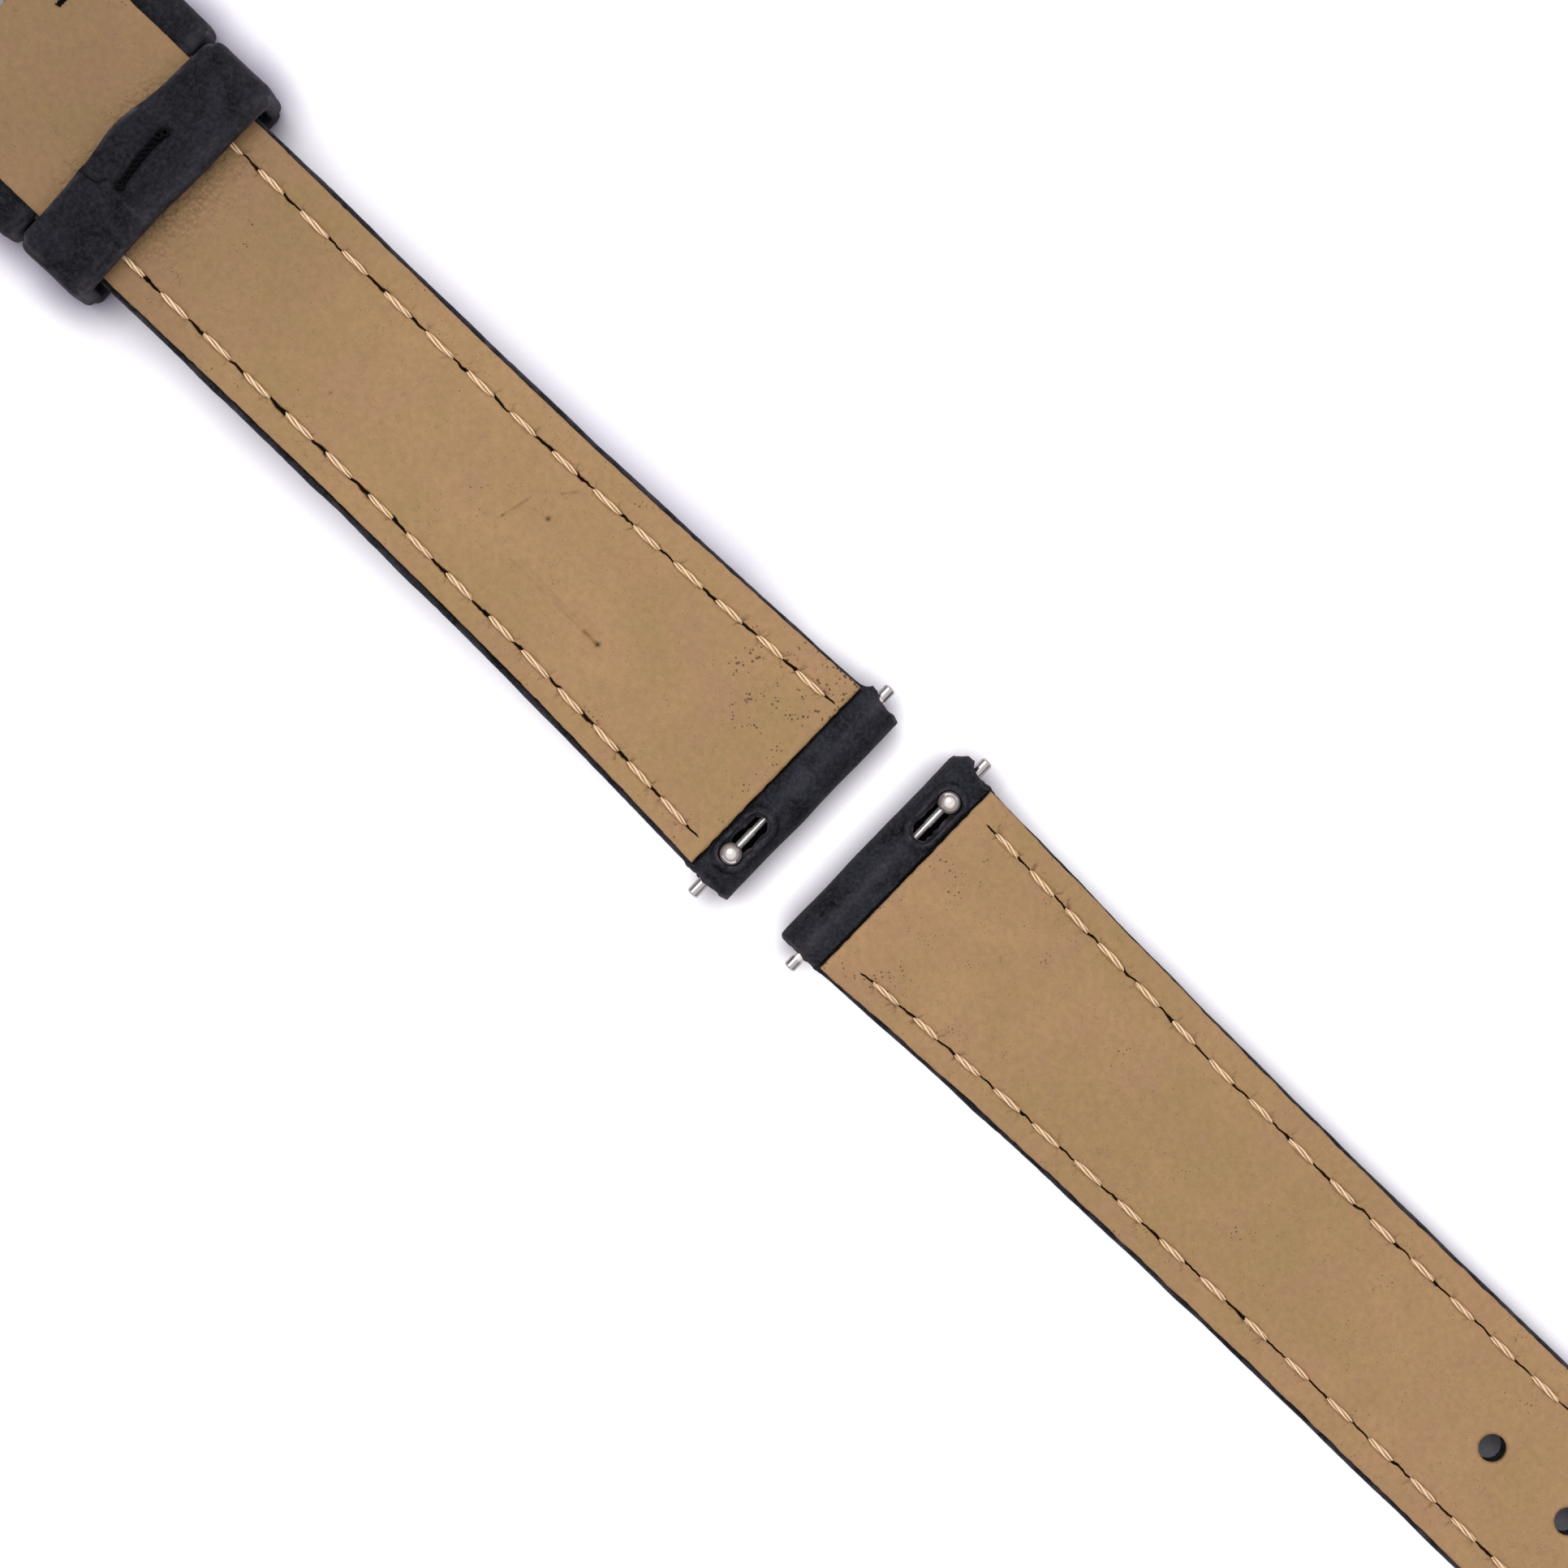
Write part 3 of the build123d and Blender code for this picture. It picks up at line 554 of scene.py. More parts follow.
# y of each row's points, closest together at the seams, and their distance from the seam
def liningColumns(half, x, width):
    zoneHalf = liningLook["seamZone"]
    straightHalf = strapPlan["endHalf"] - strapPlan["liningInset"]
    inPoint = (x > half["length"] - strapPlan["pointLength"]) & (half["name"] == "long")
    shrink = np.where(inPoint, width / straightHalf, 1.0)
    full = np.where(inPoint, straightHalf, width)[:, None]
    offsets = np.array([zoneHalf, 0.36, 0.26, 0.18, 0.12, 0.075, 0.035])
    offsets = np.concatenate([-offsets, [0], offsets[::-1]])
    shares = np.array([0.25, 0.5, 0.7, 0.83, 0.91, 0.96, 0.985, 1.0])
    columns, seamOffset = [], []
    for side in (1, -1):
        seam = seamLine(half, side, x)[:, None]
        wave = 0.10 * lineNoise(x, 0.7, half["seed"] + side)
        wave += 0.05 * lineNoise(x, 0.3, half["seed"] + 3 * side)
        wave = (wave + 0.05 * lineNoise(x, 2.6, half["seed"] + 2 * side))[:, None]
        inner = np.broadcast_to(np.arange(1, 14) * 0.1, (len(x), 13))
        middle = 1.3 + (seam - zoneHalf - 1.3) * (np.arange(1, 29) / 29)
        zone = seam + offsets + wave * bump(offsets, 0.3)
        outer = seam + zoneHalf + (full + rimCover(half, side, x)[:, None] - seam - zoneHalf) * shares
        columns.append(np.concatenate([inner, middle, zone, outer], axis=1))
        offset = np.full(columns[-1].shape, farOff)
        first = inner.shape[1] + middle.shape[1]
        offset[:, first:first + len(offsets)] = offsets
        seamOffset.append(offset)
    noSeam = np.full((len(x), 1), farOff)
    y = np.concatenate([-columns[1][:, ::-1], np.zeros((len(x), 1)), columns[0]], axis=1) * shrink[:, None]
    return y, np.concatenate([seamOffset[1][:, ::-1], noSeam, seamOffset[0]], axis=1)


# the holes of the tail, or the slot of the buckle's tongue
def cutOpenings(half, grid, y):
    plan = strapPlan
    middleX = (grid[:-1, :-1] + grid[1:, 1:]) / 2
    middleY = (y[:-1, :-1] + y[1:, 1:]) / 2
    if half["name"] == "short":
        slotX = half["length"] - plan["slotBack"]
        keep = (middleX < slotX) | (np.abs(middleY) > plan["slotHalf"])
        cutDistance = np.maximum(slotX - grid, np.abs(y) - plan["slotHalf"])
        return keep, grid, y, np.where(cutDistance > -0.3, np.abs(cutDistance), farOff)
    keep = np.ones(middleX.shape, bool)
    cutDistance = np.full(y.shape, farOff)
    for i in range(plan["holeCount"]):
        holeX = plan["holeStart"] + i * plan["holePitch"]
        keep &= np.hypot(middleX - holeX, middleY) > plan["holeRadius"]
        away = np.hypot(grid - holeX, y)
        near = np.abs(away - plan["holeRadius"]) < 0.1
        scale = np.where(near, plan["holeRadius"] / np.maximum(away, 0.1), 1)
        grid, y = holeX + (grid - holeX) * scale, y * scale
        cutDistance = np.minimum(cutDistance, np.abs(np.hypot(grid - holeX, y) - plan["holeRadius"]))
    return keep, grid, y, cutDistance


# a seam draws the lining in, and cuts it with slits and needle holes
def workSeam(half, side, x, grid, y, offset, relief, grimeAndShade):
    look = liningLook
    onSide = np.sign(y) == side
    starts, ends = stitchRuns(half, side)
    inSeam = np.clip((x - starts[0] + 1.5) / 1.5, 0, 1) * np.clip((ends[-1] + 1.5 - x) / 1.5, 0, 1)
    relief -= look["seamPull"] * onSide * inSeam[:, None] * bump(offset, 0.4)
    for begin, end, first, second in seamSlits(half, side):
        opening = np.clip((x - begin) / 0.2, 0, 1) * np.clip((end - x) / 0.2, 0, 1)
        slitHalf = first + (second - first) * np.clip((x - begin) / (end - begin), 0, 1)
        slitHalf = slitHalf * (1 + 0.25 * lineNoise(x, 0.25, 5))
        groove = onSide * opening[:, None] * np.clip(1.4 - np.abs(offset) / slitHalf[:, None], 0, 1)
        relief -= look["slitDepth"] * groove
        # painted shade: the slits are darkened nearly black
        grimeAndShade = np.maximum(grimeAndShade, 0.97 * np.minimum(1.6 * groove, 1))
    random = np.random.default_rng(half["seed"] + side + 300)
    for place in np.concatenate([starts, ends]):
        holeY = side * seamLine(half, side, place)
        away = np.hypot(grid - place, y - holeY)
        relief -= 0.16 * bump(away, 0.17)
        # painted shade in each needle hole
        grimeAndShade = np.maximum(grimeAndShade, 0.5 * bump(away, 0.15))
        # hair cracks run out from the needle holes, more of them near the lug
        for _ in range(4 if place < 13 else 2):
            reach, lean = random.uniform(0.25, 0.7), random.uniform(-0.9, 0.9)
            outwards = side * reach * random.choice([1, 1, 1, -1])
            crease = runDistance(grid, y, (place, holeY), (place + lean * reach, holeY + outwards))
            strength = random.uniform(0.2, 0.6) if place < 13 else random.uniform(0.2, 0.45)
            grimeAndShade = np.maximum(grimeAndShade, strength * bump(crease, 0.055))
            relief -= 0.03 * bump(crease, 0.12)
    for begin, end in zip(starts, ends):
        # each stitch presses a shaded bed into the lining
        bed = np.abs(offset) - 0.25
        along = (np.clip((x - begin) / 0.3, 0, 1) * np.clip((end - x) / 0.3, 0, 1))[:, None]
        grimeAndShade = np.maximum(grimeAndShade, 0.22 * onSide * along * bump(bed, 0.06))
    return relief, grimeAndShade


def addMarks(name, spots, grid, y, relief, grimeAndShade):
    marks = liningMarks[name]
    broken = np.clip(0.6 + 0.8 * softNoise(spots, 0.5, 71), 0, 1).reshape(y.shape)
    for begin, end, depth in marks["scratches"]:
        away = runDistance(grid, y, begin, end) + 0.06 * (1 - broken)
        relief += 0.12 * depth * (bump(away - 0.14, 0.10) - 2 * bump(away, 0.10))
        grimeAndShade = np.maximum(grimeAndShade, depth * broken * bump(away, 0.12))
    for spotX, spotY, size, depth in marks["spots"]:
        away = np.hypot(grid - spotX, y - spotY)
        relief -= 0.05 * bump(away, size)
        grimeAndShade = np.maximum(grimeAndShade, depth * bump(away, size))
    return relief, grimeAndShade


# pebbled wrinkles against both edges of the floating keeper
def addWrinkles(spots, grid, y, relief, grimeAndShade):
    pebbled = np.zeros(y.shape)
    warp = 0.25 * softNoise(spots, 0.9, 23).reshape(y.shape)
    pebbles = cellNoise(grid * 1.25 + warp, y + warp, 0.62, 21.0)
    pebbles = 0.7 * pebbles + 0.3 * cellNoise(grid, y * 0.8, 0.34, 22.0)
    for edge, reach, depth in liningLook["wrinkles"]:
        nearKeeper = bump(grid - edge, reach) * np.clip(1.5 - np.abs(y + 0.4) / 5.0, 0, 1)
        pebbled = np.maximum(pebbled, nearKeeper * min(1, depth / 0.08))
        relief += depth * nearKeeper * (1 - 2.6 * pebbles ** 2)
        # painted shade darkens the lining next to the keeper
        grimeAndShade = np.maximum(grimeAndShade, 0.05 * bump(grid - edge, 0.7))
    return pebbled, relief, grimeAndShade


def makeLining(half):
    plan, look = strapPlan, liningLook
    name, start, stop = half["name"], plan["liningSetback"], half["liningStop"]
    x = liningRows(half)
    width = halfWidth(half, x, plan["liningInset"])
    y, offset = liningColumns(half, x, width)
    grid = np.broadcast_to(x[:, None], y.shape).copy()
    # small nicks along the cut end, and a slightly uneven edge
    fray = 0.05 * lineNoise(y[0], 0.5, 3) - 0.10 * bump(lineNoise(y[0], 0.9, 7) - 0.62, 0.05)
    grid -= fray * bump(x - start, 0.3)[:, None]
    edgeWave = 0.05 * lineNoise(x, 1.6, half["seed"]) + 0.045 * lineNoise(x, 0.45, half["seed"] + 4)
    reached = width[:, None] + np.where(y > 0, rimCover(half, 1, grid), rimCover(half, -1, grid))
    y += np.sign(y) * (edgeWave - 0.07)[:, None] * bump(reached - np.abs(y), 0.35)
    keep, grid, y, cutDistance = cutOpenings(half, grid, y)
    # relief of the upper face
    spots = np.stack([grid.ravel(), y.ravel(), 0 * y.ravel()], axis=-1)
    relief = look["swell"] * softNoise(spots, 7.5, half["seed"])
    relief += 0.012 * softNoise(spots, 1.3, half["seed"] + 1)
    relief = relief.reshape(y.shape)
    grimeAndShade = np.zeros(y.shape)
    for side in (1, -1):
        relief, grimeAndShade = workSeam(half, side, x, grid, y, offset, relief, grimeAndShade)
    relief, grimeAndShade = addMarks(name, spots, grid, y, relief, grimeAndShade)
    pebbled = np.zeros(y.shape)
    if name == "short":
        pebbled, relief, grimeAndShade = addWrinkles(spots, grid, y, relief, grimeAndShade)
    edge = np.minimum(np.abs(reached - np.abs(y)), np.minimum(grid - start, stop - grid))
    edge = np.maximum(np.minimum(edge, cutDistance), 0)
    relief -= look["edgeRound"] * np.clip(1 - edge / 0.22, 0, 1) ** 2
    # painted shade along the rounded rim, the cut end and the openings
    grimeAndShade = np.maximum(grimeAndShade, 0.22 * np.clip(1 - edge / 0.13, 0, 1))
    # painted shade at the rims of the holes and the slot
    inHole = cutDistance < 0.02
    grimeAndShade = np.maximum(grimeAndShade, 0.35 * inHole)
    top = liningTop(half, grid)
    points = np.concatenate([toWorld(half, grid, y, top + relief).reshape(-1, 3),
                             toWorld(half, grid, y, top - plan["liningThickness"]).reshape(-1, 3)])
    specks = np.clip(1 - grid / 15, 0, 1) * (np.clip(0.5 - 0.1 * y, 0.1, 1) if name == "short" else 0.45)
    # the lining darkens towards the buckle
    tone = np.clip((grid - 36) / 24, 0, 1) ** 1.5 if name == "short" else 0 * grid
    # painted shade: the underside inside the holes is darkened
    holeShade = np.where(inHole, 1.0, 0.0)
    faces = slabFaces(keep)
    points, faces, values = dropLoose(points, faces, np.concatenate([grimeAndShade.ravel(), holeShade.ravel()]),
                                      np.tile(specks.ravel(), 2), np.tile(tone.ravel(), 2),
                                      np.tile(pebbled.ravel(), 2))
    piece = newPiece(name + "Lining", points, faces, "tanLining", 50)
    for attribute, value in zip(("grimeAndShade", "specks", "tone", "pebbled"), values):
        carry(piece, attribute, value)
    mount(piece, name + "_half", "tan_lining", name + "_lining")


for half in halves.values():
    makeLining(half)
print("strap: linings laid")


# leather worked from the solids' own shape: remeshed, eased and worn

def meshNumbers(data):
    points = np.zeros(len(data.vertices) * 3)
    data.vertices.foreach_get("co", points)
    edges = np.zeros(len(data.edges) * 2, np.int64)
    data.edges.foreach_get("vertices", edges)
    return points.reshape(-1, 3) / millimetre, edges.reshape(-1, 2)


def relax(points, edges, rounds):
    count = np.bincount(edges.ravel(), minlength=len(points))[:, None]
    for _ in range(rounds):
        total = np.zeros_like(points)
        for axis in range(3):
            total[:, axis] = (np.bincount(edges[:, 0], points[edges[:, 1], axis], len(points))
                              + np.bincount(edges[:, 1], points[edges[:, 0], axis], len(points)))
        points = points + 0.5 * (total / count - points)
    return points


def normalsOf(data, points):
    data.vertices.foreach_set("co", (points * millimetre).ravel())
    data.update()
    normals = np.zeros(len(points) * 3, np.float32)
    data.vertex_normals.foreach_get("vector", normals)
    return normals.reshape(-1, 3).astype(float)


def workedLeather(name, node, cell, rounds, finish):
    data = cadNodes[node].data.copy()
    shell = bmesh.new()
    shell.from_mesh(data)
    bmesh.ops.remove_doubles(shell, verts=shell.verts, dist=0.002 * millimetre)
    shell.to_mesh(data)
    shell.free()
    blank = bpy.data.objects.new(name, data)
    bpy.context.scene.collection.objects.link(blank)
    remesh = blank.modifiers.new("even cells", "REMESH")
    remesh.mode = "VOXEL"
    remesh.voxel_size = cell * millimetre
    worked = bpy.data.meshes.new_from_object(blank.evaluated_get(bpy.context.evaluated_depsgraph_get()))
    bpy.data.objects.remove(blank)
    worked.name = name
    piece = bpy.data.objects.new(name, worked)
    bpy.context.scene.collection.objects.link(piece)
    worked.polygons.foreach_set("use_smooth", np.ones(len(worked.polygons), bool))
    worked.materials.clear()
    worked.materials.append(finishes[finish])
    points, edges = meshNumbers(worked)
    eased = relax(points, edges, rounds)
    # how far smoothing pulls a point in tells how sharp its edge is
    normals = normalsOf(worked, eased)
    sharpness = np.einsum("ij,ij->i", points - relax(eased, edges, 6), normals)
    return piece, eased, normals, sharpness


def shapeTo(piece, points):
    piece.data.vertices.foreach_set("co", (points * millimetre).ravel())
    piece.data.update()


leatherLook = {"cell": 0.16, "ease": 3, "nap": 0.016, "swell": 0.05, "lip": 0.17, "fray": 0.2}


def makeFaceLeather(half):
    plan, look, name = strapPlan, leatherLook, half["name"]
    piece, points, normals, sharpness = workedLeather(
        name + "FaceLeather", name + "_face_leather", look["cell"], look["ease"], "blackNubuck")
    x, y, z = toStrap(half, points)
    lift = look["nap"] * softNoise(points, 0.45, 5) + look["swell"] * softNoise(points, 3.2, half["seed"])
    # the bar's window: a puckered lip, then a soft crease round it
    run = np.maximum(np.abs(y - plan["windowMiddle"]) - plan["windowStraight"], 0)
    ring = np.hypot(x, run) - plan["windowRadius"]
    onTop = (z > plan["barHeight"]) & (normals[:, 2] > 0.1) & (x < 2.5)
    uneven = 1 + 0.6 * softNoise(points, 0.6, 8)
    lift += onTop * uneven * (look["lip"] * bump(ring - 0.2, 0.16) - 0.10 * bump(ring - 0.58, 0.14))
    onBand = (z > plan["lugTop"] - 1.2) * (normals[:, 2] > 0)
    lift -= onBand * (0.24 * bump(x - 1.65, 0.75) - 0.05 * bump(x + 0.1, 0.6))
    rim = onTop * np.clip(0.2 + 1.6 * softNoise(points, 0.4, 41), 0, 1) * bump(ring - 0.05, 0.09)
    # painted shade in the soft crease round the window
    crease = 0.75 * onTop * bump(ring - 0.50, 0.10)
    crease *= np.clip(0.6 + softNoise(points, 0.7, 42), 0, 1)
    # painted highlight along the band's crest
    crest = onTop * bump(x + 0.15, 0.42) * np.clip(0.75 - 0.12 * y, 0, 1)
    crest *= np.clip(0.7 + 0.5 * softNoise(points * (1, 0.35, 1), 1.1, 43), 0, 1)
    # the window's cut wall leans in below, its loose fibres catch the light
    lean = (np.abs(ring) < 0.14) * (np.abs(normals[:, 2]) < 0.6) * bump(z - 3.15, 0.28) * (x < 2)
    towards = np.maximum(np.hypot(x, run), 0.2)
    ledge = lean * (0.26 + 0.12 * softNoise(points, 0.35, 44))
    # the seams draw the face leather in
    for side in (1, -1):
        off = side * y - seamLine(half, side, x)
        lift -= 0.10 * bump(off, 0.4) * (normals[:, 2] < -0.4) * (x > 6) * (x < half["seamStop"] + 1.5)
    points = points + normals * lift[:, None]
    points[:, 0] -= half["hand"] * ledge * x / towards
    points[:, 1] -= half["hand"] * ledge * run * np.sign(y - plan["windowMiddle"]) / towards
    # the loop's two raw ends are frayed, and a flap of leather stands out beside each upper pin
    end = np.clip((np.abs(y) - 8.25) / 0.5, 0, 1) * np.clip((2.2 - x) / 0.5, 0, 1)
    fray = look["fray"] * (softNoise(points, 0.5, 31) + 0.6 * softNoise(points, 1.3, 32)) * end
    flapX, flapSide, flapOut = (0.75, -1, 0.5) if name == "short" else (-1.05, 1, 0.55)
    flap = np.clip(1.6 * bump(x - flapX, 0.42), 0, 1)
    fray += flapOut * end * flap * (np.sign(y) == flapSide) * np.clip((z - 1.6) / 0.8, 0, 1)
    points[:, 1] += half["hand"] * np.sign(y) * fray
    shapeTo(piece, points)
    worn = np.clip(sharpness / 0.12 - 0.2, 0, 1) * np.clip(0.45 + 0.9 * softNoise(points, 0.9, 9), 0, 1)
    fibres = np.clip(lean * (0.5 + 1.2 * softNoise(points, 0.25, 45)), 0, 1)
    carry(piece, "wearAndHighlight", np.maximum(np.maximum(worn, 0.9 * rim), np.maximum(fibres, 0.30 * crest)))
    carry(piece, "crease", crease)
    mount(piece, name + "_half", "black_nubuck", name + "_face_leather")


for half in halves.values():
    makeFaceLeather(half)
print("strap: face leathers worked")

short = halves["short"]
keeperMiddle = 63.2
# the staple's two ends and the arc of the overlap are measured from the keeper's middle
keeperLook = {"cell": 0.14, "ease": 16, "start": 59.5, "length": 6.1, "swell": 0.06, "cornerRadius": 1.2,
              "nearBow": 0.12, "farBow": 0.28, "puff": 0.42, "bowStart": 4.5, "bowFull": 6.5,
              "staple": ((-0.21, -2.65), (-0.52, 2.26)),
              "arc": (1.6, 2.0), "arcRadius": 1.25, "arcFrom": 2.4,
              "overlapFrom": 2.72, "overlapFull": 3.0, "overlapStep": 0.29, "overlapFade": 2.4}


# how far a worn band has crept towards the buckle at (x, y)
def keeperShift(x, y):
    look = keeperLook
    share = np.clip((x - look["start"]) / look["length"], 0, 1)
    whole = 1 - (y / 9.5) ** 2
    farther = (look["farBow"] - look["nearBow"]) * whole + look["puff"] * bump(y + 0.6, 2.4)
    return look["nearBow"] * whole + share * farther


# a keeper's corners are rounded in plan, as cut leather wears
def roundCorners(x, y, radius):
    past = [np.maximum(np.maximum(v - v.max(), v.min() - v) + radius, 0) for v in (x, y)]
    pull = np.maximum(*past) / np.maximum(np.hypot(*past), 1e-9) - 1
    pull = np.where(np.minimum(*past) > 0, pull, 0)
    return x + past[0] * pull * np.sign(x - x.mean()), y + past[1] * pull * np.sign(y)


# the staple pulls a dent, and the overlapped end shows as a faint arc; painted shade darkens the dent, round
# the knots and along the arc
def dentAtStaple(x, y, normals):
    look = keeperLook
    begin, end = [(keeperMiddle + a, b) for a, b in look["staple"]]
    away = runDistance(x, y, begin, end)
    onTop = np.clip(2 * normals[:, 2] - 0.6, 0, 1)
    lift = onTop * (0.08 * bump(away - 1.0, 0.5) - 0.26 * bump(away, 0.45))
    crease = onTop * np.maximum(np.clip(2.4 * bump(away, 0.21), 0, 0.97), 0.14 * bump(away, 0.55))
    for knotX, knotY in (begin, end):
        crease = np.maximum(crease, 0.97 * onTop * bump(np.hypot(x - knotX, y - knotY), 0.40))
    arcX, arcY = look["arc"]
    arc = np.hypot(x - keeperMiddle - arcX, y - arcY) - look["arcRadius"]
    onArc = onTop * (y > look["arcFrom"])
    lift += onArc * (0.05 * bump(arc + 0.12, 0.12) - 0.10 * bump(arc, 0.09))
    crease = np.maximum(crease, 0.6 * onArc * bump(arc, 0.11))
    # the skived overlap slopes away instead of stepping
    rise = np.clip((y - look["overlapFrom"]) / (look["overlapFull"] - look["overlapFrom"]), 0, 1)
    fade = np.exp(-np.maximum(y - look["overlapFull"], 0) / look["overlapFade"])
    return lift + onTop * look["overlapStep"] * rise * fade, crease


def makeKeeper(node, name, body):
    look = keeperLook
    piece, points, normals, sharpness = workedLeather(
        name, node, look["cell"], look["ease"], "keeperNubuck")
    x, y, z = toStrap(short, points)
    x, y = roundCorners(x, y, look["cornerRadius"])
    points = toWorld(short, x, y, z)
    lift = 0.016 * softNoise(points, 0.4, 5) + look["swell"] * softNoise(points, 2.4, 17)
    worn = np.clip(sharpness / 0.14 - 0.15, 0, 1) * np.clip(0.45 + 0.8 * softNoise(points, 0.7, 29), 0, 1)
    crease = np.zeros(len(points))
    if node == "floating_keeper":
        dent, crease = dentAtStaple(x, y, normals)
        lift += dent
    points = points + normals * lift[:, None]
    if node == "floating_keeper":
        crept = keeperShift(x, y) + 0.08 * softNoise(points, 3.0, 23)
        height = (z - look["bowStart"]) / (look["bowFull"] - look["bowStart"])
        points[:, 0] += short["hand"] * crept * np.clip(height, 0, 1)
    shapeTo(piece, points)
    # paler over its rounded sides: partly rubbed wear, partly a painted highlight
    edge = np.clip(1.4 - 1.6 * np.abs(normals[:, 2]), 0, 1) * (z > 4.0)
    worn = np.maximum(worn, 0.28 * edge * np.clip(0.6 + softNoise(points, 1.4, 33), 0, 1))
    # and along the upper edge on the lug side, again partly wear and partly a painted highlight
    litAndRubbed = bump(x - x.min() - 0.55, 0.55) * (normals[:, 2] > 0.2)
    patchy = 0.45 + 0.5 * softNoise(points, 2.2, 34) + 0.5 * softNoise(points, 0.35, 35)
    worn = np.maximum(worn, 0.30 * litAndRubbed * np.clip(patchy, 0, 1))
    carry(piece, "wearAndHighlight", worn)
    carry(piece, "crease", crease)
    mount(piece, body, "black_nubuck", node)


makeKeeper("floating_keeper", "floatingKeeper", "floating_keeper")
makeKeeper("fixed_keeper", "fixedKeeper", "short_half")
print("strap: keepers worked")


# thread

# plies laid round a path, in strap millimetres; girth scales them along it
def twistedThread(path, girth, plies, plyRadius, layRadius, turns, phase, up, sides=7):
    tangent = np.gradient(path, axis=0)
    tangent /= np.linalg.norm(tangent, axis=1)[:, None]
    aside = np.cross(np.asarray(up, float), tangent)
    aside /= np.linalg.norm(aside, axis=1)[:, None]
    above = np.cross(tangent, aside)
    share = np.linspace(0, 1, len(path))
    around = np.linspace(0, 2 * math.pi, sides, endpoint=False)
    points, faces, crown = [], [], []
    for ply in range(plies):
        angle = phase + 2 * math.pi * (turns * share + ply / plies)
        lay = np.cos(angle)[:, None] * aside + np.sin(angle)[:, None] * above
        middle = path + (layRadius * girth)[:, None] * lay
        ring = np.cos(around)[:, None] * aside[:, None] + np.sin(around)[:, None] * above[:, None]
        tube = middle[:, None] + (plyRadius * girth)[:, None, None] * ring
        away = np.linalg.norm(tube - path[:, None], axis=2) / np.maximum(girth, 0.1)[:, None]
        away = away / (layRadius + plyRadius)
        first = sum(len(p) for p in points)
        index = first + np.arange(tube.shape[0] * sides).reshape(-1, sides)
        nextOne = np.roll(index, -1, axis=1)
        sheath = np.stack([index[:-1], nextOne[:-1], nextOne[1:], index[1:]], axis=-1)
        faces += sheath.reshape(-1, 4).tolist()
        faces += [index[0][::-1].tolist(), index[-1].tolist()]
        points.append(tube.reshape(-1, 3))
        crown.append(away.ravel())
    return np.concatenate(points), faces, np.concatenate(crown)


class ThreadWork:
    def __init__(self):
        self.points, self.faces, self.crown, self.count = [], [], [], 0

    def add(self, points, faces, crown):
        self.points.append(points)
        self.faces += [[i + self.count for i in face] for face in faces]
        self.crown.append(crown)
        self.count += len(points)

    def makePiece(self, half, name, threadFinish, body, slotName, *replaced):
        x, y, z = np.concatenate(self.points).T
        piece = newPiece(name, toWorld(half, x, y, z), self.faces, threadFinish, 70)
        carry(piece, "crown", np.concatenate(self.crown))
        mount(piece, body, slotName, *replaced)


# the seats are measured from the lining's upper face
threadLook = {"plies": 3, "plyRadius": 0.10, "layRadius": 0.12, "turns": 0.62, "crest": 0.12, "dive": 0.36,
              "liningSeat": -0.04, "faceSeat": 0.02 - strapPlan["thickness"], "faceStart": 7.8,
              "loopShare": 0.3}


def layStitch(work, half, side, start, end, seat, upward, random):
    look = threadLook
    share = np.linspace(0, 1, 19)
    x = start - 0.12 + (end - start + 0.24) * share
    arch = np.sin(math.pi * share) ** 0.42
    bend = 0.05 * np.sin(math.pi * share) * random.uniform(-1, 1)
    y = side * (seamLine(half, side, x) + bend + random.uniform(-0.03, 0.03))
    z = liningTop(half, x) + seat + upward * (look["crest"] - look["dive"] * (1 - arch))
    girth = random.uniform(0.92, 1.08) * (0.62 + 0.38 * np.sin(math.pi * share) ** 0.6)
    path = np.stack([x, y, z], axis=-1)
    turns = look["turns"] * random.uniform(0.8, 1.2)
    work.add(*twistedThread(path, girth, look["plies"], look["plyRadius"], look["layRadius"], turns,
                            random.uniform(0, 6.28), (0, 0, upward)))


def makeSeams(half):
    name = half["name"]
    tan, black = ThreadWork(), ThreadWork()
    for side in (1, -1):
        random = np.random.default_rng(half["seed"] + 7 * side + 500)
        starts, ends = stitchRuns(half, side)
        for start, end in zip(starts, ends):
            layStitch(tan, half, side, start, end, threadLook["liningSeat"], 1, random)
        for start, end in zip(*stitchRuns(half, side, threadLook["faceStart"])):
            layStitch(black, half, side, start, end, threadLook["faceSeat"], -1, random)
        # loops of the black thread show in some slits
        for begin, end, first, second in seamSlits(half, side)[1:]:
            if random.uniform() < threadLook["loopShare"]:
                middle = end - 0.42 if second > first else begin + 0.42
                reach = random.uniform(0.2, 0.38)
                share = np.linspace(-1, 1, 9)
                x = middle + reach * share
                y = side * (seamLine(half, side, x) + 0.05 * random.uniform(-1, 1))
                z = liningTop(half, x) - random.uniform(0.06, 0.16) - 0.25 * share ** 2
                girth = np.sqrt(1.02 - share ** 2) * random.uniform(0.6, 1.25)
                path = np.stack([x, y, z], axis=-1)
                black.add(*twistedThread(path, girth, 2, 0.075, 0.06, 0.5, 0.3, (0, 0, 1)))
    body = name + "_half"
    tan.makePiece(half, name + "LiningSeams", "tanThread", body, "tan_thread", name + "_lining_seams")
    black.makePiece(half, name + "FaceSeams", "blackThread", body, "black_thread", name + "_face_seams")


for half in halves.values():
    makeSeams(half)


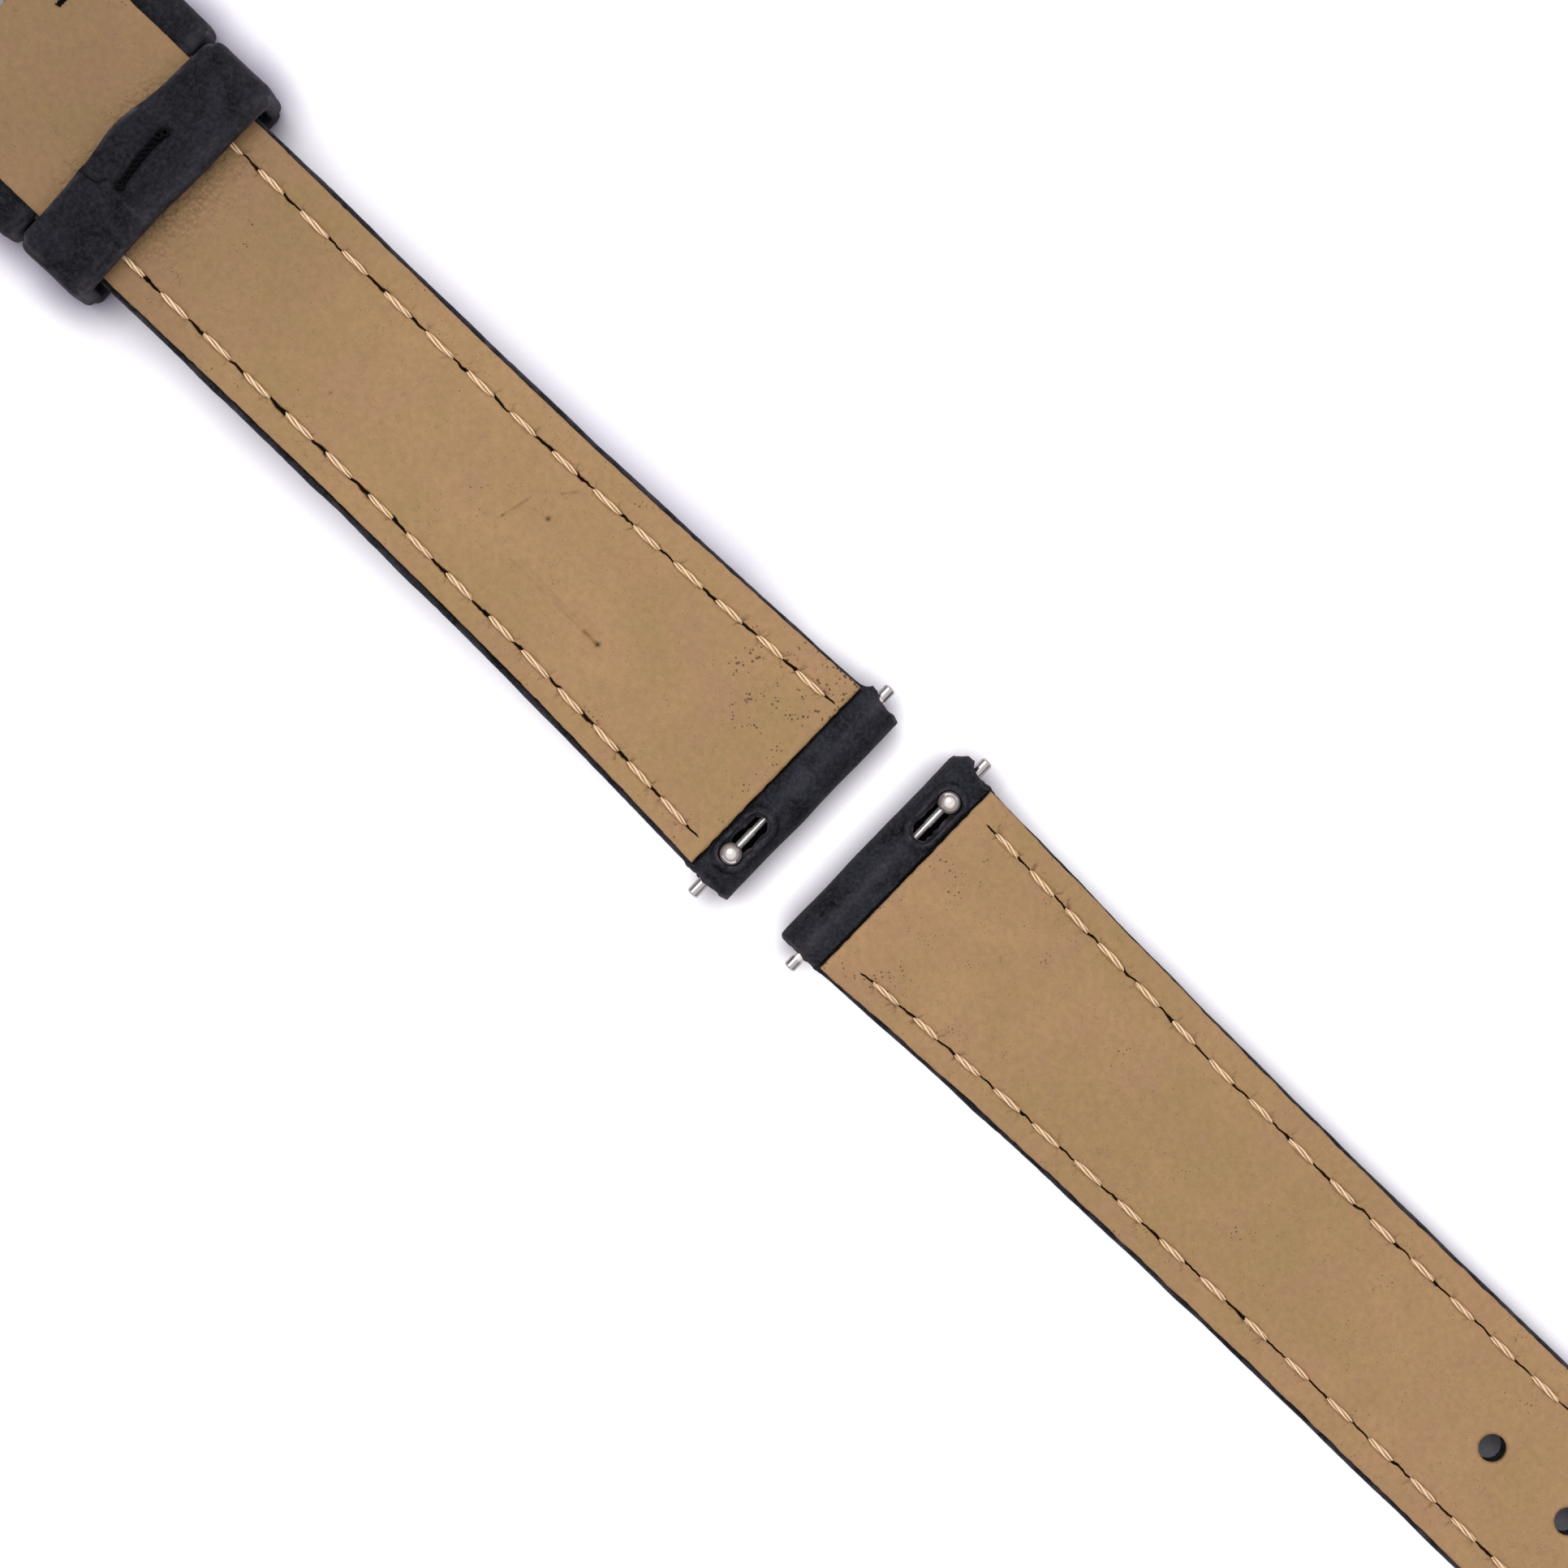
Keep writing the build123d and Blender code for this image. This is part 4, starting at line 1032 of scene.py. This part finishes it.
# the floating keeper's staple: a doubled thread with a knot at each end
def makeStaple():
    look = {"height": 1.75, "sunk": 0.14, "dive": 0.4, "apart": 0.11, "plyRadius": 0.085}
    work = ThreadWork()
    (beginX, beginY), (endX, endY) = keeperLook["staple"]
    share = np.linspace(0, 1, 33)
    for strand in (-1, 1):
        y = beginY + (endY - beginY) * share
        x = keeperMiddle + beginX + (endX - beginX) * share
        x = x + keeperShift(x, y) + strand * (look["apart"] + 0.03 * np.sin(9 * share + strand))
        z = liningTop(short, x) + look["height"] - look["sunk"]
        z -= look["dive"] * (1 - np.sin(math.pi * share) ** 0.25)
        path = np.stack([x, y, z], axis=-1)
        girth = 1 + 0.12 * np.sin(31 * share)
        work.add(*twistedThread(path, girth, 2, look["plyRadius"], 0.07, 5, strand, (0, 0, 1)))
    around = np.linspace(0, 2 * math.pi, 25)
    # each loop of the knots: its middle, its two radii and how far it stands up
    knots = [(beginX - 0.05, beginY - 0.05, 0.23, 0.2, 0.03),
             (beginX + 0.08, beginY + 0.42, 0.24, 0.19, 0.05),
             (endX, endY - 0.05, 0.20, 0.13, 0.04),
             (endX + 0.1, endY - 0.28, 0.16, 0.2, 0.07),
             (endX - 0.16, endY - 0.2, 0.12, 0.12, 0.06)]
    for knotX, knotY, radiusX, radiusY, height in knots:
        y = knotY + radiusY * np.sin(around)
        x = keeperMiddle + knotX + radiusX * np.cos(around)
        x = x + keeperShift(x, y)
        z = liningTop(short, x) + look["height"] + height - 0.06 + 0.03 * np.cos(2 * around)
        path = np.stack([x, y, z], axis=-1)
        work.add(*twistedThread(path, np.ones(25), 1, look["plyRadius"], 0.0, 0, 0, (0, 0, 1)))
    work.makePiece(short, "floatingKeeperStitch", "blackThread", "floating_keeper", "black_thread",
                   "floating_keeper_stitch")


makeStaple()


# bar tacks that close the buckle end: long strands under close wraps
def makeTacks():
    look = {"place": 75.1, "side": 4.7, "reach": 0.85, "wraps": 12, "half": 0.17}
    work = ThreadWork()
    for side in (-1, 1):
        for strand in (-1, 0, 1):
            run = np.linspace(-1, 1, 12)
            y = side * look["side"] + look["reach"] * run
            x = look["place"] + 0.11 * strand + 0 * y
            z = liningTop(short, x) + 0.02 - 0.12 * np.abs(run) ** 6
            path = np.stack([x, y, z], axis=-1)
            work.add(*twistedThread(path, np.ones(12), 2, 0.06, 0.05, 4, 0, (0, 0, 1)))
        share = np.linspace(0, 1, look["wraps"] * 8)
        swing = share * look["wraps"] * math.pi
        y = side * look["side"] + (2 * share - 1) * look["reach"]
        x = look["place"] + look["half"] * np.cos(swing)
        z = liningTop(short, x) + 0.11 * np.abs(np.sin(swing))
        path = np.stack([x, y, z], axis=-1)
        work.add(*twistedThread(path, np.ones(len(x)), 1, 0.062, 0.0, 0, 0, (0, 0, 1)))
    work.makePiece(short, "buckleEndTacks", "blackThread", "short_half", "black_thread", "buckle_end_tacks")


makeTacks()
print("strap: thread laid")


# hidden layers, springs and steel

def holeDistance(x, y):
    first, pitch = strapPlan["holeStart"], strapPlan["holePitch"]
    number = np.clip(np.round((x - first) / pitch), 0, strapPlan["holeCount"] - 1)
    return np.hypot(x - first - number * pitch, y)


hiddenLayers = {"Core": ("bonded_core", "bondedCore", 0.26), "Padding": ("padding_felt", "paddingFelt", 0.3)}
for half in halves.values():
    name = half["name"]
    for layer, (slotName, layerFinish, cell) in hiddenLayers.items():
        node = name + "_" + layer.lower()
        piece, points, normals, sharpness = workedLeather(name + layer, node, cell, 2, layerFinish)
        shapeTo(piece, points + normals * (0.02 * softNoise(points, 0.8, 3) - 0.02)[:, None])
        # painted shade: the walls of the punched holes are darkened
        x, y, z = toStrap(half, points)
        carry(piece, "grimeAndShade", (holeDistance(x, y) < strapPlan["holeRadius"] + 0.25) * (name == "long"))
        mount(piece, name + "_half", slotName, node)


# a coil between two places along y
def makeSpring(name, node, fixedY, freeY, axisX, axisZ, coilRadius, wireRadius, turns):
    share = np.linspace(0, 1, turns * 14 + 1)
    turn = 2 * math.pi * turns * share
    low, high = min(fixedY, freeY) + wireRadius, max(fixedY, freeY) - wireRadius
    x, z = axisX + coilRadius * np.cos(turn), axisZ + coilRadius * np.sin(turn)
    path = np.stack([x, low + (high - low) * share, z], axis=-1)
    points, faces, crown = twistedThread(path, np.ones(len(path)), 1, wireRadius, 0.0, 0, 0, (0, 1, 0), 6)
    piece = newPiece(name, points, faces, "springSteel", 70)
    mount(piece, "short_half" if "long" not in name else "long_half", "spring_steel", node)
    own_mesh(piece)


for half in halves.values():
    name = half["name"]
    low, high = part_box(name + "_bar_spring")
    ends = [low.y / millimetre, high.y / millimetre]
    fixedEnd, freeEnd = ends if half["hand"] > 0 else ends[::-1]
    makeSpring(name + "BarSpring", name + "_bar_spring", fixedEnd, freeEnd,
               half["barX"], strapPlan["barHeight"], 0.46, 0.12, 15)
low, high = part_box("buckle_bar_spring")
middleX, middleZ = (low.x + high.x) / 2 / millimetre, (low.z + high.z) / 2 / millimetre
middleY = (low.y + high.y) / 2 / millimetre
for tip, free in (("a", high.y), ("b", low.y)):
    joint = next(j for j in frame["joints"] if j["name"] == "buckle_tip_" + tip + "_slide")
    free = low.y if joint["axis"][1] > 0 else high.y
    makeSpring("buckleBarSpring" + tip.upper(), "buckle_bar_spring", middleY,
               free / millimetre, middleX, middleZ, 0.37, 0.1, 12)

# the bar tubes take the near black steel as painted shade inside the windows
releaseSteels = {"tube": "windowShadeSteel", "fixed_tip": "pinSteel", "sliding_pin": "pinSteel",
                 "knob": "knobSteel"}
steels = {name + "_bar_" + part: steel for name in halves for part, steel in releaseSteels.items()}
steels.update({"buckle_bar_tube": "polishedSteel", "buckle_bar_tip_a": "satinSteel",
               "buckle_bar_tip_b": "satinSteel", "buckle_frame": "polishedSteel",
               "buckle_tongue": "polishedSteel"})
for node, steel in steels.items():
    cadNodes[node].data.materials.clear()
    cadNodes[node].data.materials.append(finishes[steel])
print("strap: springs and steel finished")


# table, light and camera

studio = {"skyStrength": 0.78, "keyPower": 1.3, "keySize": 0.55, "keyPlace": (-0.32, 0.12, 0.55),
          "keyTilt": (-12, -29, 0), "tableHalf": 1.5, "tableGlow": 0.62, "mirroredShare": 0.2,
          "paper": ((0.93, 0.905, 0.96), (0.94, 0.92, 0.965)),
          "closeShade": (0.46, 0.44, 0.50), "softShade": (0.75, 0.72, 0.80),
          "shadeReach": 2.8, "wideReach": 7.0, "keeperShade": -0.12,
          # where each shade sets in and ends along the strap, in millimetres from the gap's middle
          "shadeRuns": {"upperClose": (0, 12), "lowerClose": (-30, -12), "gap": (3.0, 6.0),
                        "upperWide": (-18, -6), "lowerWide": (-50, -8), "keeper": (-60, -46)},
          "wall": (0.33, 0.29, 0.28), "ceiling": (1.34, 1.34, 1.37), "wallTop": 0.35, "ceilingStart": 0.75}


# how open the table is to the light: next to the strap, and in a wider ring round the short half
def tableOpenness(tree, place):
    runs = studio["shadeRuns"]
    near = addNode(tree, "AmbientOcclusion", Distance=studio["shadeReach"] * millimetre).outputs["AO"]
    far = addNode(tree, "AmbientOcclusion", Distance=studio["wideReach"] * millimetre).outputs["AO"]
    # close shade: full on the photographed upper side and in the gap, faint on the lower side
    spot = addNode(tree, "SeparateXYZ", {"Vector": place}).outputs
    gapMiddle = (halves["short"]["barX"] + halves["long"]["barX"]) / 2
    along = maths(tree, "SUBTRACT", spot["X"], gapMiddle)
    upperSide = spread(tree, spot["Y"], -2, 2)
    lowerSide = maths(tree, "SUBTRACT", 1.0, upperSide)
    upper = maths(tree, "MULTIPLY", upperSide, spread(tree, along, *runs["upperClose"], 1.0, 0.85))
    lower = maths(tree, "MULTIPLY", lowerSide, spread(tree, along, *runs["lowerClose"], 1.0, 0.12))
    inGap = spread(tree, maths(tree, "ABSOLUTE", along), *runs["gap"], 1.0, 0.0)
    strength = maths(tree, "MAXIMUM", maths(tree, "ADD", upper, lower), inGap)
    closed = maths(tree, "MULTIPLY", strength, maths(tree, "SUBTRACT", 1.0, near))
    nearOpen = maths(tree, "SUBTRACT", 1.0, closed)
    # wide shade: only round the short half, which stands off the table
    upper = maths(tree, "MULTIPLY", upperSide, spread(tree, along, *runs["upperWide"], 1.0, 0.0))
    lower = maths(tree, "MULTIPLY", lowerSide, spread(tree, along, *runs["lowerWide"], 1.0, 0.0))
    atKeeper = spread(tree, along, *runs["keeper"], studio["keeperShade"], 0.0)
    strength = maths(tree, "ADD", maths(tree, "ADD", upper, lower), atKeeper)
    farOpen = maths(tree, "POWER", spread(tree, far, 0.38, 1.0), 1.5)
    closed = maths(tree, "MULTIPLY", strength, maths(tree, "SUBTRACT", 1.0, farOpen))
    return near, nearOpen, maths(tree, "MAXIMUM", maths(tree, "SUBTRACT", 1.0, closed), 0.0)


def makeTable():
    half = studio["tableHalf"]
    corners = [(-half, -half, 0), (half, -half, 0), (half, half, 0), (-half, half, 0)]
    corners = np.array(corners) / millimetre
    finish, tree, shader = newFinish("paleTable", Roughness=0.95, Specular_IOR_Level=0.1)
    place = placeInMillimetres(tree)
    clouds = spread(tree, noiseAt(tree, place, 0.02, 2.0), 0.3, 0.7)
    near, nearOpen, farOpen = tableOpenness(tree, place)
    colour = mixed(tree, clouds, *studio["paper"])
    dim = spread(tree, near, 0.0, 0.4, 0.25, 1.0)
    shade = addNode(tree, "CombineColor", {"Red": dim, "Green": dim, "Blue": dim}).outputs[0]
    colour = mixed(tree, 1.0, colour, shade, "MULTIPLY")
    nearShare = spread(tree, nearOpen, 0.35, 0.92)
    nearEdge = mixed(tree, nearShare, studio["closeShade"], (1.0, 1.0, 1.0))
    colour = mixed(tree, 1.0, colour, nearEdge, "MULTIPLY")
    wideShade = mixed(tree, farOpen, studio["softShade"], (1.0, 1.0, 1.0))
    tree.links.new(mixed(tree, 1.0, colour, wideShade, "MULTIPLY"), shader.inputs["Base Color"])
    # the glow only shows, it lights nothing on the strap, and steel mirrors a part of it
    path = addNode(tree, "LightPath")
    mirrored = maths(tree, "MULTIPLY", path.outputs["Is Glossy Ray"], studio["mirroredShare"])
    seen = maths(tree, "MAXIMUM", path.outputs["Is Camera Ray"], mirrored)
    seen = maths(tree, "MAXIMUM", seen, path.outputs["Is Transmission Ray"])
    openness = maths(tree, "MULTIPLY", maths(tree, "POWER", nearOpen, 3.0), farOpen)
    openness = maths(tree, "MULTIPLY", openness, spread(tree, near, 0.15, 0.35))
    glow = maths(tree, "MULTIPLY", openness, studio["tableGlow"])
    tree.links.new(maths(tree, "MULTIPLY", seen, glow), shader.inputs["Emission Strength"])
    shader.inputs["Emission Color"].default_value = (1, 1, 1, 1)
    finishes["paleTable"] = finish
    newPiece("paleTable", corners, [[0, 1, 2, 3]], "paleTable")


def makeSky():
    world = bpy.data.worlds.new("lightTent")
    world.use_nodes = True
    tree = world.node_tree
    bpy.context.scene.world = world
    direction = addNode(tree, "TexCoord").outputs["Generated"]
    height = addNode(tree, "SeparateXYZ", {"Vector": direction}).outputs["Z"]
    share = spread(tree, height, studio["wallTop"], studio["ceilingStart"])
    colour = mixed(tree, share, studio["wall"], studio["ceiling"])
    # seen straight on, the tent is plain white
    white = 1 / studio["skyStrength"]
    colour = mixed(tree, addNode(tree, "LightPath").outputs["Is Camera Ray"], colour, (white, white, white))
    backdrop = tree.nodes["Background"]
    backdrop.inputs["Strength"].default_value = studio["skyStrength"]
    tree.links.new(colour, backdrop.inputs["Color"])


def makeKeyLight():
    lamp = bpy.data.lights.new("softbox", "AREA")
    lamp.shape = "DISK"
    lamp.size = studio["keySize"]
    lamp.energy = studio["keyPower"]
    softbox = bpy.data.objects.new("softbox", lamp)
    softbox.location = studio["keyPlace"]
    softbox.rotation_euler = [math.radians(turn) for turn in studio["keyTilt"]]
    bpy.context.scene.collection.objects.link(softbox)


# straight above the lug ends, turned so that the strap runs corner to corner
def makeCamera():
    view = {"x": halves["short"]["barX"] - 0.73, "y": halves["short"]["middleY"] + 0.01, "height": 304.5,
            "fieldHalf": 55.3, "distance": 300.0, "turn": 44.0}
    lens = bpy.data.cameras.new("camera")
    lens.sensor_fit = "HORIZONTAL"
    lens.sensor_width = 36
    lens.lens = 18 / (view["fieldHalf"] / view["distance"])
    lens.clip_start = 0.01
    camera = bpy.data.objects.new("camera", lens)
    camera.location = [view[k] * millimetre for k in ("x", "y", "height")]
    camera.rotation_euler = (0, 0, math.radians(view["turn"]))
    bpy.context.scene.collection.objects.link(camera)
    bpy.context.scene.camera = camera


makeTable()
makeSky()
makeKeyLight()
makeCamera()
bpy.context.scene.view_settings.view_transform = "Standard"
print("strap: table, light and camera set")
